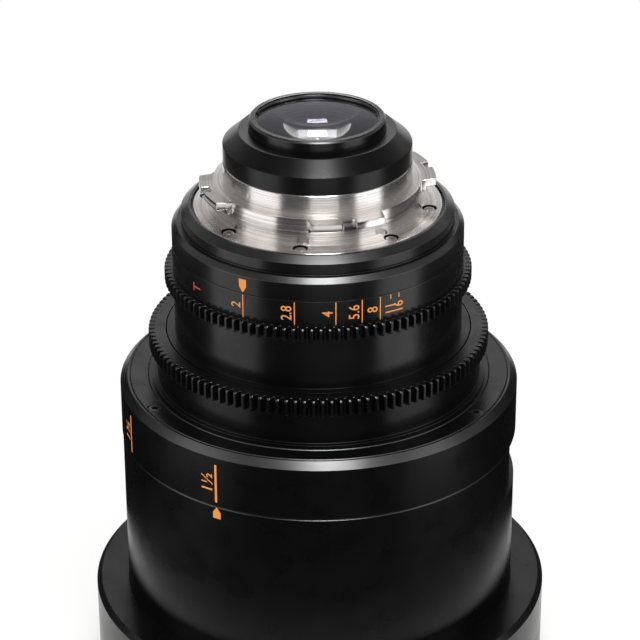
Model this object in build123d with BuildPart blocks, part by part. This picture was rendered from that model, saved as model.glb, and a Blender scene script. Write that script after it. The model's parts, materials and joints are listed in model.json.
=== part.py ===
from build123d import *
import os
from math import asin, atan2, cos, degrees, hypot, pi, radians, sin, sqrt

# Cinema prime lens, standing on its front rim with the camera end up.
# The origin is the centre of the mount's seat plane, on the optical axis.
# All lengths are millimetres and all angles are degrees.

# Clearances
running_gap = 0.05
snug_gap = 0.02
ring_gap = 0.1
part_gap = 0.3
cut_over = 1.0
edge_break = 0.25

# The index marks face this way, and the angles round the body are counted from them
index_angle = -90.0

# Lens mount: the barrel that enters the camera, the neck, four wings and the screwed plate
mount_barrel_radius = 27.0
mount_barrel_height = 5.8
mount_wall = 3.0
mount_edge_chamfer = 0.3
neck_step = 2.8
neck_height = 7.7
neck_groove_depth = 0.2
neck_groove_width = 0.25
neck_groove_drop = 3.6
wing_count = 4
wing_first_angle = 45.0
wing_reach = 3.95
wing_root_span = 22.0
wing_tip_span = 18.0
wing_thickness = 2.1
wing_sink = 0.8
wing_heel_reach = 1.2
wing_heel_thickness = 3.5
wing_notch_width = 3.6
wing_notch_depth = 2.2
plate_step = 6.4
plate_thickness = 2.6
plate_chamfer = 0.4
mount_screw_inward = 4.1
mount_screw_angle = 21.0
mount_screw_radius = 1.0
mount_screw_length = 6.2
mount_screw_head_radius = 1.9
mount_screw_head_height = 1.2
mount_screw_inset = 0.1
mount_screw_slot_width = 0.5
mount_screw_slot_length = 2.4
mount_screw_slot_depth = 0.7
shim_thickness = 0.3
shim_margin = 0.3

# Rear baffle and rear optical cell
shroud_clearance = 0.1
shroud_skirt = 5.2
shroud_cone = 3.8
shroud_top_width = 3.0
shroud_spigot_length = 4.8
shroud_wall = 3.0
rear_rim_height = 3.8
rear_rim_chamfer = 0.6
rear_lock_ring_width = 4.6
rear_cell_wall = 1.9
rear_lip_width = 0.9
rear_ring_inset = 0.4
rear_ring_thickness = 1.3
rear_element_edge = 3.5
rear_element_rise = 0.9
rear_element_drop = 3.2
rear_spacer_length = 7.4
rear_middle_edge = 5.0
rear_middle_rise = -2.4
rear_bond_drop = 3.4
rear_inner_edge = 9.0
rear_inner_drop = 1.6
rear_flange_thickness = 2.0
rear_lock_ring_thickness = 3.0
rear_tube_step = 1.05

# Rear housing, the fixed collar that carries the mount
housing_recess_margin = 0.1
housing_lip_width = 0.8
housing_lip_rise = 0.3
housing_lip_slope = 1.8
housing_slope_width = 2.3
housing_wall_height = 3.3
housing_ledge_width = 1.2
housing_chamfer = 1.5
housing_side = 5.05
housing_web = 4.4
housing_screw_count = 8
housing_screw_inset = 2.25
housing_screw_radius = 1.0
housing_screw_length = 8.0
housing_screw_head_radius = 1.6
housing_screw_head_height = 1.2

# Iris rings
iris_range = 64.0
iris_scale_height = 7.5
iris_gear_height = 3.95
body_wall = 3.0
core_wall = 6.95
gear_module = 0.8
iris_gear_step = 2.4
tooth_tip_share = 0.13
tooth_root_share = 0.39
tooth_depth_share = 2.25
tooth_chamfer = 0.45
iris_pin_radius = 1.0
iris_pin_angle = 180.0
iris_pin_play = 0.15
iris_pin_cover = 0.8
iris_pin_depth = 1.7

# Iris diaphragm
blade_count = 9
blade_range = 31.5
blade_inward = 10.4
blade_width = 7.8
blade_span = 92.0
blade_thickness = 0.2
blade_step = 0.3
blade_margin = 0.15
blade_neck_width = 3.2
blade_arm_width = 2.6
blade_pivot_inset = 6.05
blade_arm = 7.5
blade_pin_radius = 0.55
blade_pin_play = 0.1
blade_pivot_depth = 1.1
blade_drive_depth = 2.0
base_plate_thickness = 1.6
base_plate_rim = 2.6
base_plate_rim_width = 2.45
base_plate_open_margin = 0.6
cam_ring_thickness = 2.8
cam_ring_open_margin = 1.9
cam_shoulder = 3.0
cam_shoulder_width = 3.0

# Main barrel
barrel_inset = 0.2
barrel_length = 15.5
barrel_wall = 4.8
barrel_flange_width = 2.5
barrel_flange_thickness = 3.0
guide_socket_depth = 4.2

# Middle optical cell
middle_cell_flange = 3.0
middle_cell_step = 7.0
middle_cell_length = 14.0
middle_cell_drop = 0.3
middle_cell_wall = 4.0
middle_lip_width = 2.0
middle_lip_height = 2.0
middle_rear_edge = 5.0
middle_rear_rise = 1.3
middle_rear_drop = -1.8
middle_spacer_length = 2.7
middle_front_edge = 4.5
middle_front_rise = -1.2
middle_front_drop = 2.2
middle_ring_thickness = 2.0

# Focus ring: geared sleeve, drum and the sleeve that turns on balls
focus_range = 270.0
focus_travel = 12.0
focus_gear_height = 4.9
focus_gear_step = 5.3
focus_neck_wall = 2.8
focus_neck_length = 9.3
focus_foot_width = 1.5
focus_foot_height = 0.6
drum_step = 11.0
drum_chamfer = 2.0
drum_length = 17.4
drum_web = 3.5
drum_wall = 3.6
drum_groove_margin = 1.6
drum_edge_groove_inset = 0.5
drum_groove_width = 0.3
drum_groove_depth = 0.3
drum_screw_count = 3
drum_screw_inward = 5.4
drum_screw_angle = 87.5
drum_screw_radius = 1.5
drum_screw_length = 5.6
drum_screw_head_radius = 2.0
drum_screw_head_height = 1.6
drum_screw_socket_radius = 1.1
drum_screw_socket_depth = 0.9
sleeve_wall = 3.95
sleeve_flange_thickness = 3.5
ball_radius = 0.8
ball_count = 40
ball_inset = 1.85
race_thickness = 1.0
race_spacing = 1.4
race_width = 3.5
cage_thickness = 0.6
cage_width = 1.9
stop_pin_radius = 1.5
stop_pin_outward = 5.0
stop_pin_angle = 180.0
stop_pin_height = 9.0
stop_pin_depth = 2.5
stop_play_angle = 0.2
stop_block_height = 7.5
stop_block_width = 6.0

# Guide tube and the sliding focus group
guide_play = 0.35
guide_wall = 3.65
guide_length = 43.0
guide_slot_width = 12.0
guide_slot_margin = 0.5
guide_slot_count = 3
guide_slot_angle = 60.0
key_sink = 2.05
key_length = 12.0
key_front_margin = 1.4
carrier_wall = 4.55
carrier_length = 32.0
carrier_overhang = 2.0
focus_cell_flange_inset = 1.05
focus_cell_flange = 2.0
focus_cell_length = 30.0
focus_cell_lip = 1.5
focus_cell_wall = 3.5
focus_lip_width = 2.0
focus_rear_edge = 6.0
focus_rear_rise = -1.6
focus_rear_drop = 2.6
focus_spacer_length = 6.5
focus_front_edge = 7.0
focus_front_rise = 2.2
focus_front_drop = -2.5
focus_ring_thickness = 3.0

# Front housing
front_inset = 0.2
front_wall = 3.7
front_gap = 0.2
front_rim_height = 1.4
front_web = 4.0
front_length = 50.4
front_spigot = 8.0
pocket_depth = 1.3
pocket_angle = 97.0
pocket_span = 76.0
pocket_length = 16.0
guide_nut_thickness = 3.0
guide_nut_width = 3.3

# Front optical cell and front bell
bell_step = 9.8
bell_length = 31.0
bell_chamfer = 1.5
bell_wall = 7.5
filter_rim_width = 4.5
filter_length = 8.0
front_cell_start = 19.4
front_cell_land = 6.0
front_cell_relief = 5.0
front_cell_flange = 13.0
front_seat_width = 3.5
front_shelf_drop = 2.5
front_shelf_width = 3.0
front_element_edge = 7.0
front_element_rise = -7.0
front_element_drop = 4.0
front_ring_margin = 0.4
front_cell_wall = 3.5
inner_lip_width = 2.0
inner_lip_height = 2.0
inner_lip_drop = 32.0
front_middle_edge = 5.0
front_middle_rise = -3.0
front_middle_drop = 5.0
front_spacer_length = 11.0
front_inner_edge = 5.0
front_inner_rise = 3.5
front_inner_drop = 2.0
front_inner_ring_thickness = 4.0

# Radii of the main faces, each stepped outward or inward from its neighbour
mount_bore_radius = mount_barrel_radius - mount_wall
neck_radius = mount_barrel_radius + neck_step
wing_radius = neck_radius + wing_reach
wing_heel_radius = neck_radius + wing_heel_reach
plate_radius = neck_radius + plate_step
mount_screw_circle = plate_radius - mount_screw_inward
shroud_radius = mount_barrel_radius - shroud_clearance
rear_cell_radius = mount_bore_radius - rear_lock_ring_width
shroud_top_radius = rear_cell_radius + shroud_top_width
rear_tube_radius = rear_cell_radius + rear_tube_step
rear_glass_radius = rear_cell_radius - rear_cell_wall
rear_window_radius = rear_glass_radius - rear_lip_width
housing_lip_radius = plate_radius + housing_lip_width
housing_wall_radius = housing_lip_radius + housing_slope_width
housing_ledge_radius = housing_wall_radius + housing_ledge_width
body_radius = housing_ledge_radius + housing_chamfer
core_radius = body_radius - body_wall
core_bore_radius = core_radius - core_wall
housing_screw_circle = core_bore_radius + housing_screw_inset
blade_pivot_circle = core_bore_radius - blade_pivot_inset
blade_inner_radius = blade_pivot_circle - blade_inward
base_plate_opening = blade_inner_radius + base_plate_open_margin
cam_ring_radius = core_bore_radius - running_gap
cam_ring_opening = blade_inner_radius + cam_ring_open_margin
cam_shoulder_radius = core_bore_radius - cam_shoulder_width
barrel_radius = body_radius - barrel_inset
barrel_bore_radius = barrel_radius - barrel_wall
barrel_flange_radius = barrel_radius + barrel_flange_width
middle_cell_radius = barrel_bore_radius - middle_cell_step
middle_glass_radius = middle_cell_radius - middle_cell_wall
focus_gear_bore = barrel_flange_radius + part_gap
focus_neck_radius = focus_gear_bore + focus_neck_wall
focus_foot_radius = focus_neck_radius + focus_foot_width
drum_groove_radius = focus_foot_radius + drum_groove_margin
drum_radius = focus_neck_radius + drum_step
drum_bore_radius = drum_radius - drum_wall
drum_screw_circle = drum_radius - drum_screw_inward
sleeve_radius = barrel_flange_radius - part_gap
sleeve_bore_radius = sleeve_radius - sleeve_wall
sleeve_flange_radius = drum_bore_radius - part_gap
stop_pin_circle = sleeve_radius + stop_pin_outward
ball_circle = sleeve_radius - ball_inset
race_inner_radius = ball_circle - race_width / 2
race_outer_radius = ball_circle + race_width / 2
guide_radius = sleeve_bore_radius - guide_play
guide_bore_radius = guide_radius - guide_wall
guide_nut_radius = guide_radius + guide_nut_width
key_radius = sleeve_bore_radius - running_gap
key_inner_radius = guide_bore_radius - key_sink
carrier_radius = guide_bore_radius - running_gap
carrier_bore_radius = guide_bore_radius - carrier_wall
focus_cell_radius = carrier_bore_radius - running_gap
focus_cell_flange_radius = guide_bore_radius - focus_cell_flange_inset
focus_glass_radius = carrier_bore_radius - focus_cell_wall
front_radius = drum_radius - front_inset
front_bore_radius = front_radius - front_wall
pocket_radius = front_radius - pocket_depth
bell_radius = front_radius + bell_step
bell_wall_radius = bell_radius - bell_wall
filter_radius = bell_radius - filter_rim_width
front_cell_radius = front_bore_radius - running_gap
front_cell_flange_radius = bell_wall_radius - running_gap
front_cell_relief_radius = front_bore_radius - front_cell_relief
front_glass_radius = bell_wall_radius - front_seat_width
inner_glass_radius = front_cell_relief_radius - front_cell_wall

# Whole teeth that reach the height of each gear
iris_teeth = round(2 * (body_radius + iris_gear_step) / gear_module) - 2
focus_teeth = round(2 * (barrel_flange_radius + focus_gear_step) / gear_module) - 2

# Heights of the main faces, measured along the axis from the seat plane
barrel_top = mount_barrel_height
shroud_skirt_top = barrel_top + shroud_skirt
shroud_top = shroud_skirt_top + shroud_cone
rim_top = shroud_top + rear_rim_height
plate_top = -neck_height
plate_bottom = plate_top - plate_thickness
web_top = plate_bottom - shim_thickness
web_bottom = web_top - housing_web
lip_top = plate_top + housing_lip_rise
lip_bottom = lip_top - housing_lip_slope
ledge_height = lip_bottom - housing_wall_height
housing_edge = ledge_height - housing_chamfer
housing_bottom = housing_edge - housing_side
iris_top = housing_bottom - ring_gap
iris_gear_top = iris_top - iris_scale_height
iris_bottom = iris_gear_top - iris_gear_height
barrel_shoulder = iris_bottom - ring_gap
flange_top = barrel_shoulder - barrel_length
flange_bottom = flange_top - barrel_flange_thickness

# The diaphragm is stacked under the rear housing's web
base_plate_top = web_bottom - base_plate_rim
base_plate_bottom = base_plate_top - base_plate_thickness
blades_top = base_plate_bottom - blade_margin
blades_bottom = blades_top - blade_step * (blade_count - 1) - blade_thickness
cam_top = blades_bottom - blade_margin
cam_bottom = cam_top - cam_ring_thickness
shoulder_top = cam_bottom - ring_gap
shoulder_bottom = shoulder_top - cam_shoulder
iris_pin_height = (cam_top + cam_bottom) / 2

# The focus ring runs on balls under the main barrel's flange
race_bottom = flange_bottom - race_thickness
turning_race_top = race_bottom - race_spacing
sleeve_top = turning_race_top - race_thickness
ball_height = (race_bottom + turning_race_top) / 2
focus_gear_top = flange_top
focus_gear_bottom = focus_gear_top - focus_gear_height
foot_top = focus_gear_bottom - focus_neck_length
drum_top = foot_top - focus_foot_height
drum_edge = drum_top - drum_chamfer
drum_inner_top = drum_top - drum_web
drum_bottom = drum_top - drum_length
sleeve_flange_bottom = drum_inner_top - sleeve_flange_thickness
front_top = drum_bottom - front_gap
front_web_top = front_top - front_rim_height
front_web_bottom = front_web_top - front_web
sleeve_bottom = front_web_top + ring_gap
stop_block_bottom = sleeve_flange_bottom - stop_block_height

# The guide tube carries the front housing and the sliding group
guide_top = flange_bottom + guide_socket_depth
guide_bottom = guide_top - guide_length
guide_nut_bottom = front_web_bottom - guide_nut_thickness
key_bottom = sleeve_bottom + key_front_margin
key_top = key_bottom + key_length
guide_slot_bottom = key_bottom - guide_slot_margin
guide_slot_top = key_top + focus_travel + guide_slot_margin
carrier_bottom = guide_bottom - carrier_overhang
carrier_top = carrier_bottom + carrier_length
focus_cell_bottom = carrier_bottom - focus_cell_flange
focus_cell_top = focus_cell_bottom + focus_cell_length

# Front end
bell_top = front_top - front_length
front_bottom = bell_top - front_spigot
bell_bottom = bell_top - bell_length
filter_top = bell_bottom + filter_length
front_cell_top = front_top - front_cell_start
front_cell_bottom = front_bottom - front_cell_flange
front_shelf = front_bottom - front_shelf_drop
inner_lip_top = front_cell_top - inner_lip_drop + inner_lip_height
inner_lip_bottom = front_cell_top - inner_lip_drop


def turn(*outline, mode=Mode.ADD):
    """Turn a closed outline of (radius, height) points about the optical axis."""
    with BuildSketch(Plane.XZ) as profile:
        with BuildLine():
            Polyline(*outline, close=True)
        make_face()
    revolve(profile.sketch, axis=Axis.Z, mode=mode)


def ring(outer, inner, top, bottom, mode=Mode.ADD):
    """Make a plain ring between two heights."""
    with BuildSketch(Plane.XY.offset(bottom)) as profile:
        Circle(outer)
        Circle(inner, mode=Mode.SUBTRACT)
    extrude(profile.sketch, amount=top - bottom, mode=mode)


def disc(radius, top, bottom, mode=Mode.ADD):
    """Make a plain disc between two heights, or the hole of its size."""
    with BuildSketch(Plane.XY.offset(bottom)) as profile:
        Circle(radius)
    extrude(profile.sketch, amount=top - bottom, mode=mode)


def sector(outer, inner, top, bottom, start, span, mode=Mode.ADD):
    """Make the part of a ring that spans an angle from a starting angle."""
    with BuildSketch(Plane.XY.offset(bottom)) as profile:
        with BuildLine():
            far = CenterArc((0, 0), outer, start, span)
            near = CenterArc((0, 0), inner, start, span)
            Line(far @ 0, near @ 0)
            Line(far @ 1, near @ 1)
        make_face()
    extrude(profile.sketch, amount=top - bottom, mode=mode)


def holes(radius, circle, count, start, top, depth, mode=Mode.SUBTRACT):
    """Make round holes, or pins, down from a height on a circle about the axis."""
    with BuildSketch(Plane.XY.offset(top - depth)) as profile:
        with PolarLocations(circle, count, start_angle=start):
            Circle(radius)
    extrude(profile.sketch, amount=depth, mode=mode)


def element(radius, clear, top, edge, rise, drop):
    """Turn a glass element: flat at its seat, and how far each surface bulges inside it."""
    bottom = top - edge
    with BuildSketch(Plane.XZ) as profile:
        with BuildLine():
            Line((0, bottom - drop), (0, top + rise))
            ThreePointArc(*dome(clear, top, rise))
            Polyline((clear, top), (radius, top), (radius, bottom), (clear, bottom))
            ThreePointArc(*dome(clear, bottom, -drop))
        make_face()
    revolve(profile.sketch, axis=Axis.Z)


def dome(radius, height, bulge):
    """Three points of a spherical surface from its pole to its edge."""
    curvature = (radius**2 + bulge**2) / (2 * bulge)
    middle = radius / 2
    sag = bulge - (curvature - curvature / abs(curvature) * sqrt(curvature**2 - middle**2))
    return (0, height + bulge), (middle, height + sag), (radius, height)


def toothed_disc(teeth, top, bottom):
    """Make a disc with straight gear teeth whose corners are broken at both ends."""
    tip = gear_module * (teeth + 2) / 2
    root = tip - tooth_depth_share * gear_module
    pitch_angle = 2 * pi / teeth
    outline = []
    for tooth in range(teeth):
        for share, radius in (
            (-tooth_root_share, root),
            (-tooth_tip_share, tip),
            (tooth_tip_share, tip),
            (tooth_root_share, root),
        ):
            angle = (tooth + share) * pitch_angle
            outline.append((radius * cos(angle), radius * sin(angle)))
    with BuildSketch(Plane.XY.offset(bottom)) as profile:
        with BuildLine():
            Polyline(*outline, close=True)
        make_face()
    extrude(profile.sketch, amount=top - bottom)
    over = tip + tooth_chamfer
    for face, inward in ((top, -tooth_chamfer), (bottom, tooth_chamfer)):
        turn((tip - tooth_chamfer, face), (over, face), (over, face + 2 * inward), mode=Mode.SUBTRACT)


# Lens mount
with BuildPart() as lens_mount:
    turn(
        (mount_bore_radius, barrel_top),
        (mount_barrel_radius - mount_edge_chamfer, barrel_top),
        (mount_barrel_radius, barrel_top - mount_edge_chamfer),
        (mount_barrel_radius, 0),
        (neck_radius - mount_edge_chamfer, 0),
        (neck_radius, -mount_edge_chamfer),
        (neck_radius, plate_top),
        (plate_radius - plate_chamfer, plate_top),
        (plate_radius, plate_top - plate_chamfer),
        (plate_radius, plate_bottom),
        (mount_bore_radius, plate_bottom),
    )
    groove_top = -neck_groove_drop
    ring(
        neck_radius + cut_over,
        neck_radius - neck_groove_depth,
        groove_top,
        groove_top - neck_groove_width,
        mode=Mode.SUBTRACT,
    )
    for wing in range(wing_count):
        middle = wing_first_angle + 360 / wing_count * wing
        with BuildSketch(Plane.XY.offset(-wing_thickness)):
            with BuildLine():
                tip_arc = CenterArc((0, 0), wing_radius, middle - wing_tip_span, 2 * wing_tip_span)
                root_radius = neck_radius - wing_sink
                root_arc = CenterArc((0, 0), root_radius, middle - wing_root_span, 2 * wing_root_span)
                Line(tip_arc @ 0, root_arc @ 0)
                Line(tip_arc @ 1, root_arc @ 1)
            make_face()
        extrude(amount=wing_thickness)
        sector(
            wing_heel_radius,
            neck_radius - wing_sink,
            0,
            -wing_heel_thickness,
            middle - wing_root_span,
            2 * wing_root_span,
        )
    notch_radius = wing_radius + cut_over - (wing_notch_depth + cut_over) / 2
    with BuildSketch(Plane.XY.offset(-wing_thickness)):
        with PolarLocations(notch_radius, wing_count, start_angle=wing_first_angle):
            Rectangle(wing_notch_depth + cut_over, wing_notch_width)
    extrude(amount=wing_thickness + cut_over, mode=Mode.SUBTRACT)
    screw_floor = plate_top - mount_screw_inset - mount_screw_head_height
    for start in (mount_screw_angle, -mount_screw_angle):
        holes(
            mount_screw_head_radius + snug_gap,
            mount_screw_circle,
            wing_count,
            start,
            plate_top,
            plate_top - screw_floor,
        )
        holes(
            mount_screw_radius + snug_gap,
            mount_screw_circle,
            wing_count,
            start,
            plate_top,
            plate_thickness,
        )

with BuildPart() as mount_screws:
    head_top = plate_top - mount_screw_inset
    for start in (mount_screw_angle, -mount_screw_angle):
        holes(
            mount_screw_head_radius,
            mount_screw_circle,
            wing_count,
            start,
            head_top,
            mount_screw_head_height,
            mode=Mode.ADD,
        )
        holes(
            mount_screw_radius,
            mount_screw_circle,
            wing_count,
            start,
            head_top,
            mount_screw_length,
            mode=Mode.ADD,
        )
        with BuildSketch(Plane.XY.offset(head_top - mount_screw_slot_depth)):
            with PolarLocations(mount_screw_circle, wing_count, start_angle=start):
                Rectangle(mount_screw_slot_length, mount_screw_slot_width)
                Rectangle(mount_screw_slot_width, mount_screw_slot_length)
        extrude(amount=mount_screw_slot_depth, mode=Mode.SUBTRACT)

with BuildPart() as mount_shim:
    ring(plate_radius - shim_margin, mount_bore_radius, plate_bottom, web_top)
    for start in (mount_screw_angle, -mount_screw_angle):
        holes(
            mount_screw_radius + snug_gap,
            mount_screw_circle,
            wing_count,
            start,
            plate_bottom,
            shim_thickness,
        )

# Rear housing
housing_bore_radius = rear_tube_radius + running_gap
core_socket_radius = core_radius + snug_gap
with BuildPart() as rear_housing:
    turn(
        (plate_radius + housing_recess_margin, lip_top),
        (housing_lip_radius, lip_top),
        (housing_wall_radius, lip_bottom),
        (housing_wall_radius, ledge_height),
        (housing_ledge_radius, ledge_height),
        (body_radius, housing_edge),
        (body_radius, housing_bottom + edge_break),
        (body_radius - edge_break, housing_bottom),
        (core_socket_radius, housing_bottom),
        (core_socket_radius, web_bottom),
        (housing_bore_radius, web_bottom),
        (housing_bore_radius, web_top),
        (plate_radius + housing_recess_margin, web_top),
    )
    screw_reach = mount_screw_length - (head_top - web_top) + snug_gap
    for start in (mount_screw_angle, -mount_screw_angle):
        holes(
            mount_screw_radius + snug_gap,
            mount_screw_circle,
            wing_count,
            start,
            web_top,
            screw_reach,
        )
    holes(
        housing_screw_head_radius + snug_gap,
        housing_screw_circle,
        housing_screw_count,
        0,
        web_top,
        housing_screw_head_height + snug_gap,
    )
    holes(
        housing_screw_radius + snug_gap,
        housing_screw_circle,
        housing_screw_count,
        0,
        web_top,
        housing_web,
    )

with BuildPart() as housing_screws:
    holes(
        housing_screw_head_radius,
        housing_screw_circle,
        housing_screw_count,
        0,
        web_top - snug_gap,
        housing_screw_head_height,
        mode=Mode.ADD,
    )
    holes(
        housing_screw_radius,
        housing_screw_circle,
        housing_screw_count,
        0,
        web_top - snug_gap,
        housing_screw_length,
        mode=Mode.ADD,
    )

# Rear baffle
with BuildPart() as rear_shroud:
    bore = rear_cell_radius + running_gap
    spigot = mount_bore_radius - running_gap
    spigot_bottom = barrel_top - shroud_spigot_length
    turn(
        (bore, shroud_top),
        (shroud_top_radius, shroud_top),
        (shroud_radius, shroud_skirt_top),
        (shroud_radius, barrel_top),
        (spigot, barrel_top),
        (spigot, spigot_bottom),
        (bore + shroud_wall, spigot_bottom),
        (bore + shroud_wall, shroud_skirt_top - shroud_wall),
        (bore, shroud_top - shroud_wall),
    )

# Rear optical cell, with its ring, elements and spacer
rear_ring_top = rim_top - rear_ring_inset
rear_element_top = rear_ring_top - rear_ring_thickness
rear_spacer_top = rear_element_top - rear_element_edge
rear_middle_top = rear_spacer_top - rear_spacer_length
rear_bond_height = rear_middle_top - rear_middle_edge
rear_inner_bottom = rear_bond_height - rear_inner_edge
rear_cell_bottom = web_bottom + part_gap
flange_height = web_top + rear_flange_thickness
with BuildPart() as rear_cell:
    bore = rear_glass_radius + running_gap
    turn(
        (bore, rim_top),
        (rear_cell_radius - rear_rim_chamfer, rim_top),
        (rear_cell_radius, rim_top - rear_rim_chamfer),
        (rear_cell_radius, flange_height),
        (mount_bore_radius - ring_gap, flange_height),
        (mount_bore_radius - ring_gap, web_top),
        (rear_tube_radius, web_top),
        (rear_tube_radius, rear_cell_bottom),
        (rear_window_radius, rear_cell_bottom),
        (rear_window_radius, rear_inner_bottom),
        (bore, rear_inner_bottom),
    )

with BuildPart() as rear_lock_ring:
    ring(
        mount_bore_radius - running_gap,
        rear_cell_radius + running_gap,
        flange_height + rear_lock_ring_thickness,
        flange_height,
    )

with BuildPart() as rear_retaining_ring:
    ring(rear_glass_radius, rear_window_radius, rear_ring_top, rear_element_top)

with BuildPart() as rear_element:
    element(
        rear_glass_radius,
        rear_window_radius,
        rear_element_top,
        rear_element_edge,
        rear_element_rise,
        rear_element_drop,
    )

with BuildPart() as rear_spacer:
    ring(rear_glass_radius, rear_window_radius, rear_spacer_top, rear_middle_top)

with BuildPart() as rear_middle_element:
    element(
        rear_glass_radius,
        rear_window_radius,
        rear_middle_top,
        rear_middle_edge,
        rear_middle_rise,
        rear_bond_drop,
    )

with BuildPart() as rear_inner_element:
    element(
        rear_glass_radius,
        rear_window_radius,
        rear_bond_height,
        rear_inner_edge,
        -rear_bond_drop,
        rear_inner_drop,
    )

# Iris diaphragm: base plate, blades and cam ring
arm_start = -90 - blade_range / 2
with BuildPart() as iris_base_plate:
    ring(cam_ring_radius, cam_ring_radius - base_plate_rim_width, web_bottom, base_plate_top)
    ring(cam_ring_radius, base_plate_opening, base_plate_top, base_plate_bottom)
    with BuildSketch(Plane.XY.offset(base_plate_bottom)):
        with PolarLocations(blade_pivot_circle, blade_count):
            Circle(blade_pin_radius + running_gap)
    extrude(amount=blade_pivot_depth + running_gap, mode=Mode.SUBTRACT)

blades = []
arm_x = blade_pivot_circle + blade_arm * cos(radians(arm_start))
arm_y = blade_arm * sin(radians(arm_start))
middle_radius = blade_inner_radius + blade_width / 2
for number in range(blade_count):
    blade_top = blades_top - blade_step * number
    blade_bottom = blade_top - blade_thickness
    blade_place = Location((0, 0), 360 / blade_count * number)
    with BuildPart() as blade:
        with BuildSketch(Plane.XY.offset(blade_bottom)):
            with Locations(blade_place):
                SlotArc(CenterArc((0, 0), middle_radius, 0, blade_span), blade_width)
                with Locations(((middle_radius + blade_pivot_circle) / 2, 0)):
                    SlotCenterToCenter(blade_pivot_circle - middle_radius, blade_neck_width)
                with Locations(Location(((blade_pivot_circle + arm_x) / 2, arm_y / 2), arm_start)):
                    SlotCenterToCenter(blade_arm, blade_arm_width)
        extrude(amount=blade_thickness)
        with BuildSketch(Plane.XY.offset(blade_bottom)):
            with Locations(blade_place):
                with Locations((blade_pivot_circle, 0)):
                    Circle(blade_pin_radius)
        extrude(amount=base_plate_bottom + blade_pivot_depth - blade_bottom)
        with BuildSketch(Plane.XY.offset(cam_top - blade_drive_depth)):
            with Locations(blade_place):
                with Locations((arm_x, arm_y)):
                    Circle(blade_pin_radius)
        extrude(amount=blade_top - cam_top + blade_drive_depth)
    blade.part.label = f"iris_blade_{number + 1}"
    blades.append(blade)


def drive_pin_point(share):
    """Where a blade's drive pin stands in the cam ring after a share of the iris travel."""
    arm_angle = radians(arm_start + blade_range * share)
    across = blade_pivot_circle + blade_arm * cos(arm_angle)
    along = blade_arm * sin(arm_angle)
    turned_by = atan2(along, across) + radians(iris_range * share)
    distance = hypot(across, along)
    return distance * cos(turned_by), distance * sin(turned_by)


with BuildPart() as iris_cam_ring:
    ring(cam_ring_radius, cam_ring_opening, cam_top, cam_bottom)
    slot_path = ThreePointArc(*[drive_pin_point(share) for share in (0, 1 / 2, 1)])
    with BuildSketch(Plane.XY.offset(cam_bottom)):
        with PolarLocations(0, blade_count):
            SlotArc(slot_path, 2 * (blade_pin_radius + blade_pin_play))
    extrude(amount=cam_ring_thickness, mode=Mode.SUBTRACT)

# Iris drive pin, in radial holes of the cam ring and the scale ring
pin_inner = cam_ring_radius - iris_pin_depth
pin_outer = body_radius - iris_pin_cover
pin_direction = Vector(cos(radians(iris_pin_angle)), sin(radians(iris_pin_angle)), 0)


def radial_pin(radius, inner, outer, mode=Mode.ADD):
    """Make the iris drive pin, or its hole, between two radii."""
    start = pin_direction * inner + Vector(0, 0, iris_pin_height)
    with BuildSketch(Plane(origin=start, z_dir=pin_direction)) as profile:
        Circle(radius)
    extrude(profile.sketch, amount=outer - inner, mode=mode)


with BuildPart() as iris_drive_pin:
    radial_pin(iris_pin_radius, pin_inner, pin_outer)

with iris_cam_ring:
    radial_pin(
        iris_pin_radius + snug_gap, pin_inner - snug_gap, cam_ring_radius + cut_over, Mode.SUBTRACT
    )

# Iris rings
ring_bore = core_radius + running_gap
with BuildPart() as iris_scale_ring:
    turn(
        (ring_bore, iris_top),
        (body_radius - edge_break, iris_top),
        (body_radius, iris_top - edge_break),
        (body_radius, iris_gear_top),
        (ring_bore, iris_gear_top),
    )
    radial_pin(
        iris_pin_radius + snug_gap, ring_bore - cut_over, pin_outer + snug_gap, Mode.SUBTRACT
    )

with BuildPart() as iris_gear_ring:
    toothed_disc(iris_teeth, iris_gear_top, iris_bottom)
    disc(ring_bore, iris_gear_top, iris_bottom, mode=Mode.SUBTRACT)

# Main barrel
guide_socket_radius = guide_radius + snug_gap
with BuildPart() as main_barrel:
    turn(
        (core_bore_radius, web_bottom),
        (core_radius, web_bottom),
        (core_radius, barrel_shoulder),
        (barrel_radius - edge_break, barrel_shoulder),
        (barrel_radius, barrel_shoulder - edge_break),
        (barrel_radius, flange_top),
        (barrel_flange_radius, flange_top),
        (barrel_flange_radius, flange_bottom),
        (guide_socket_radius, flange_bottom),
        (guide_socket_radius, guide_top),
        (barrel_bore_radius, guide_top),
        (barrel_bore_radius, shoulder_bottom),
        (cam_shoulder_radius, shoulder_bottom),
        (cam_shoulder_radius, shoulder_top),
        (core_bore_radius, shoulder_top),
    )
    pin_reach = iris_pin_radius + iris_pin_play
    play = degrees(asin(pin_reach / core_bore_radius))
    sector(
        core_radius + cut_over,
        core_bore_radius - cut_over,
        iris_pin_height + pin_reach,
        iris_pin_height - pin_reach,
        iris_pin_angle - iris_range - play,
        iris_range + 2 * play,
        mode=Mode.SUBTRACT,
    )
    holes(
        housing_screw_radius + snug_gap,
        housing_screw_circle,
        housing_screw_count,
        0,
        web_bottom,
        housing_screw_length - housing_web + snug_gap,
    )

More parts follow.
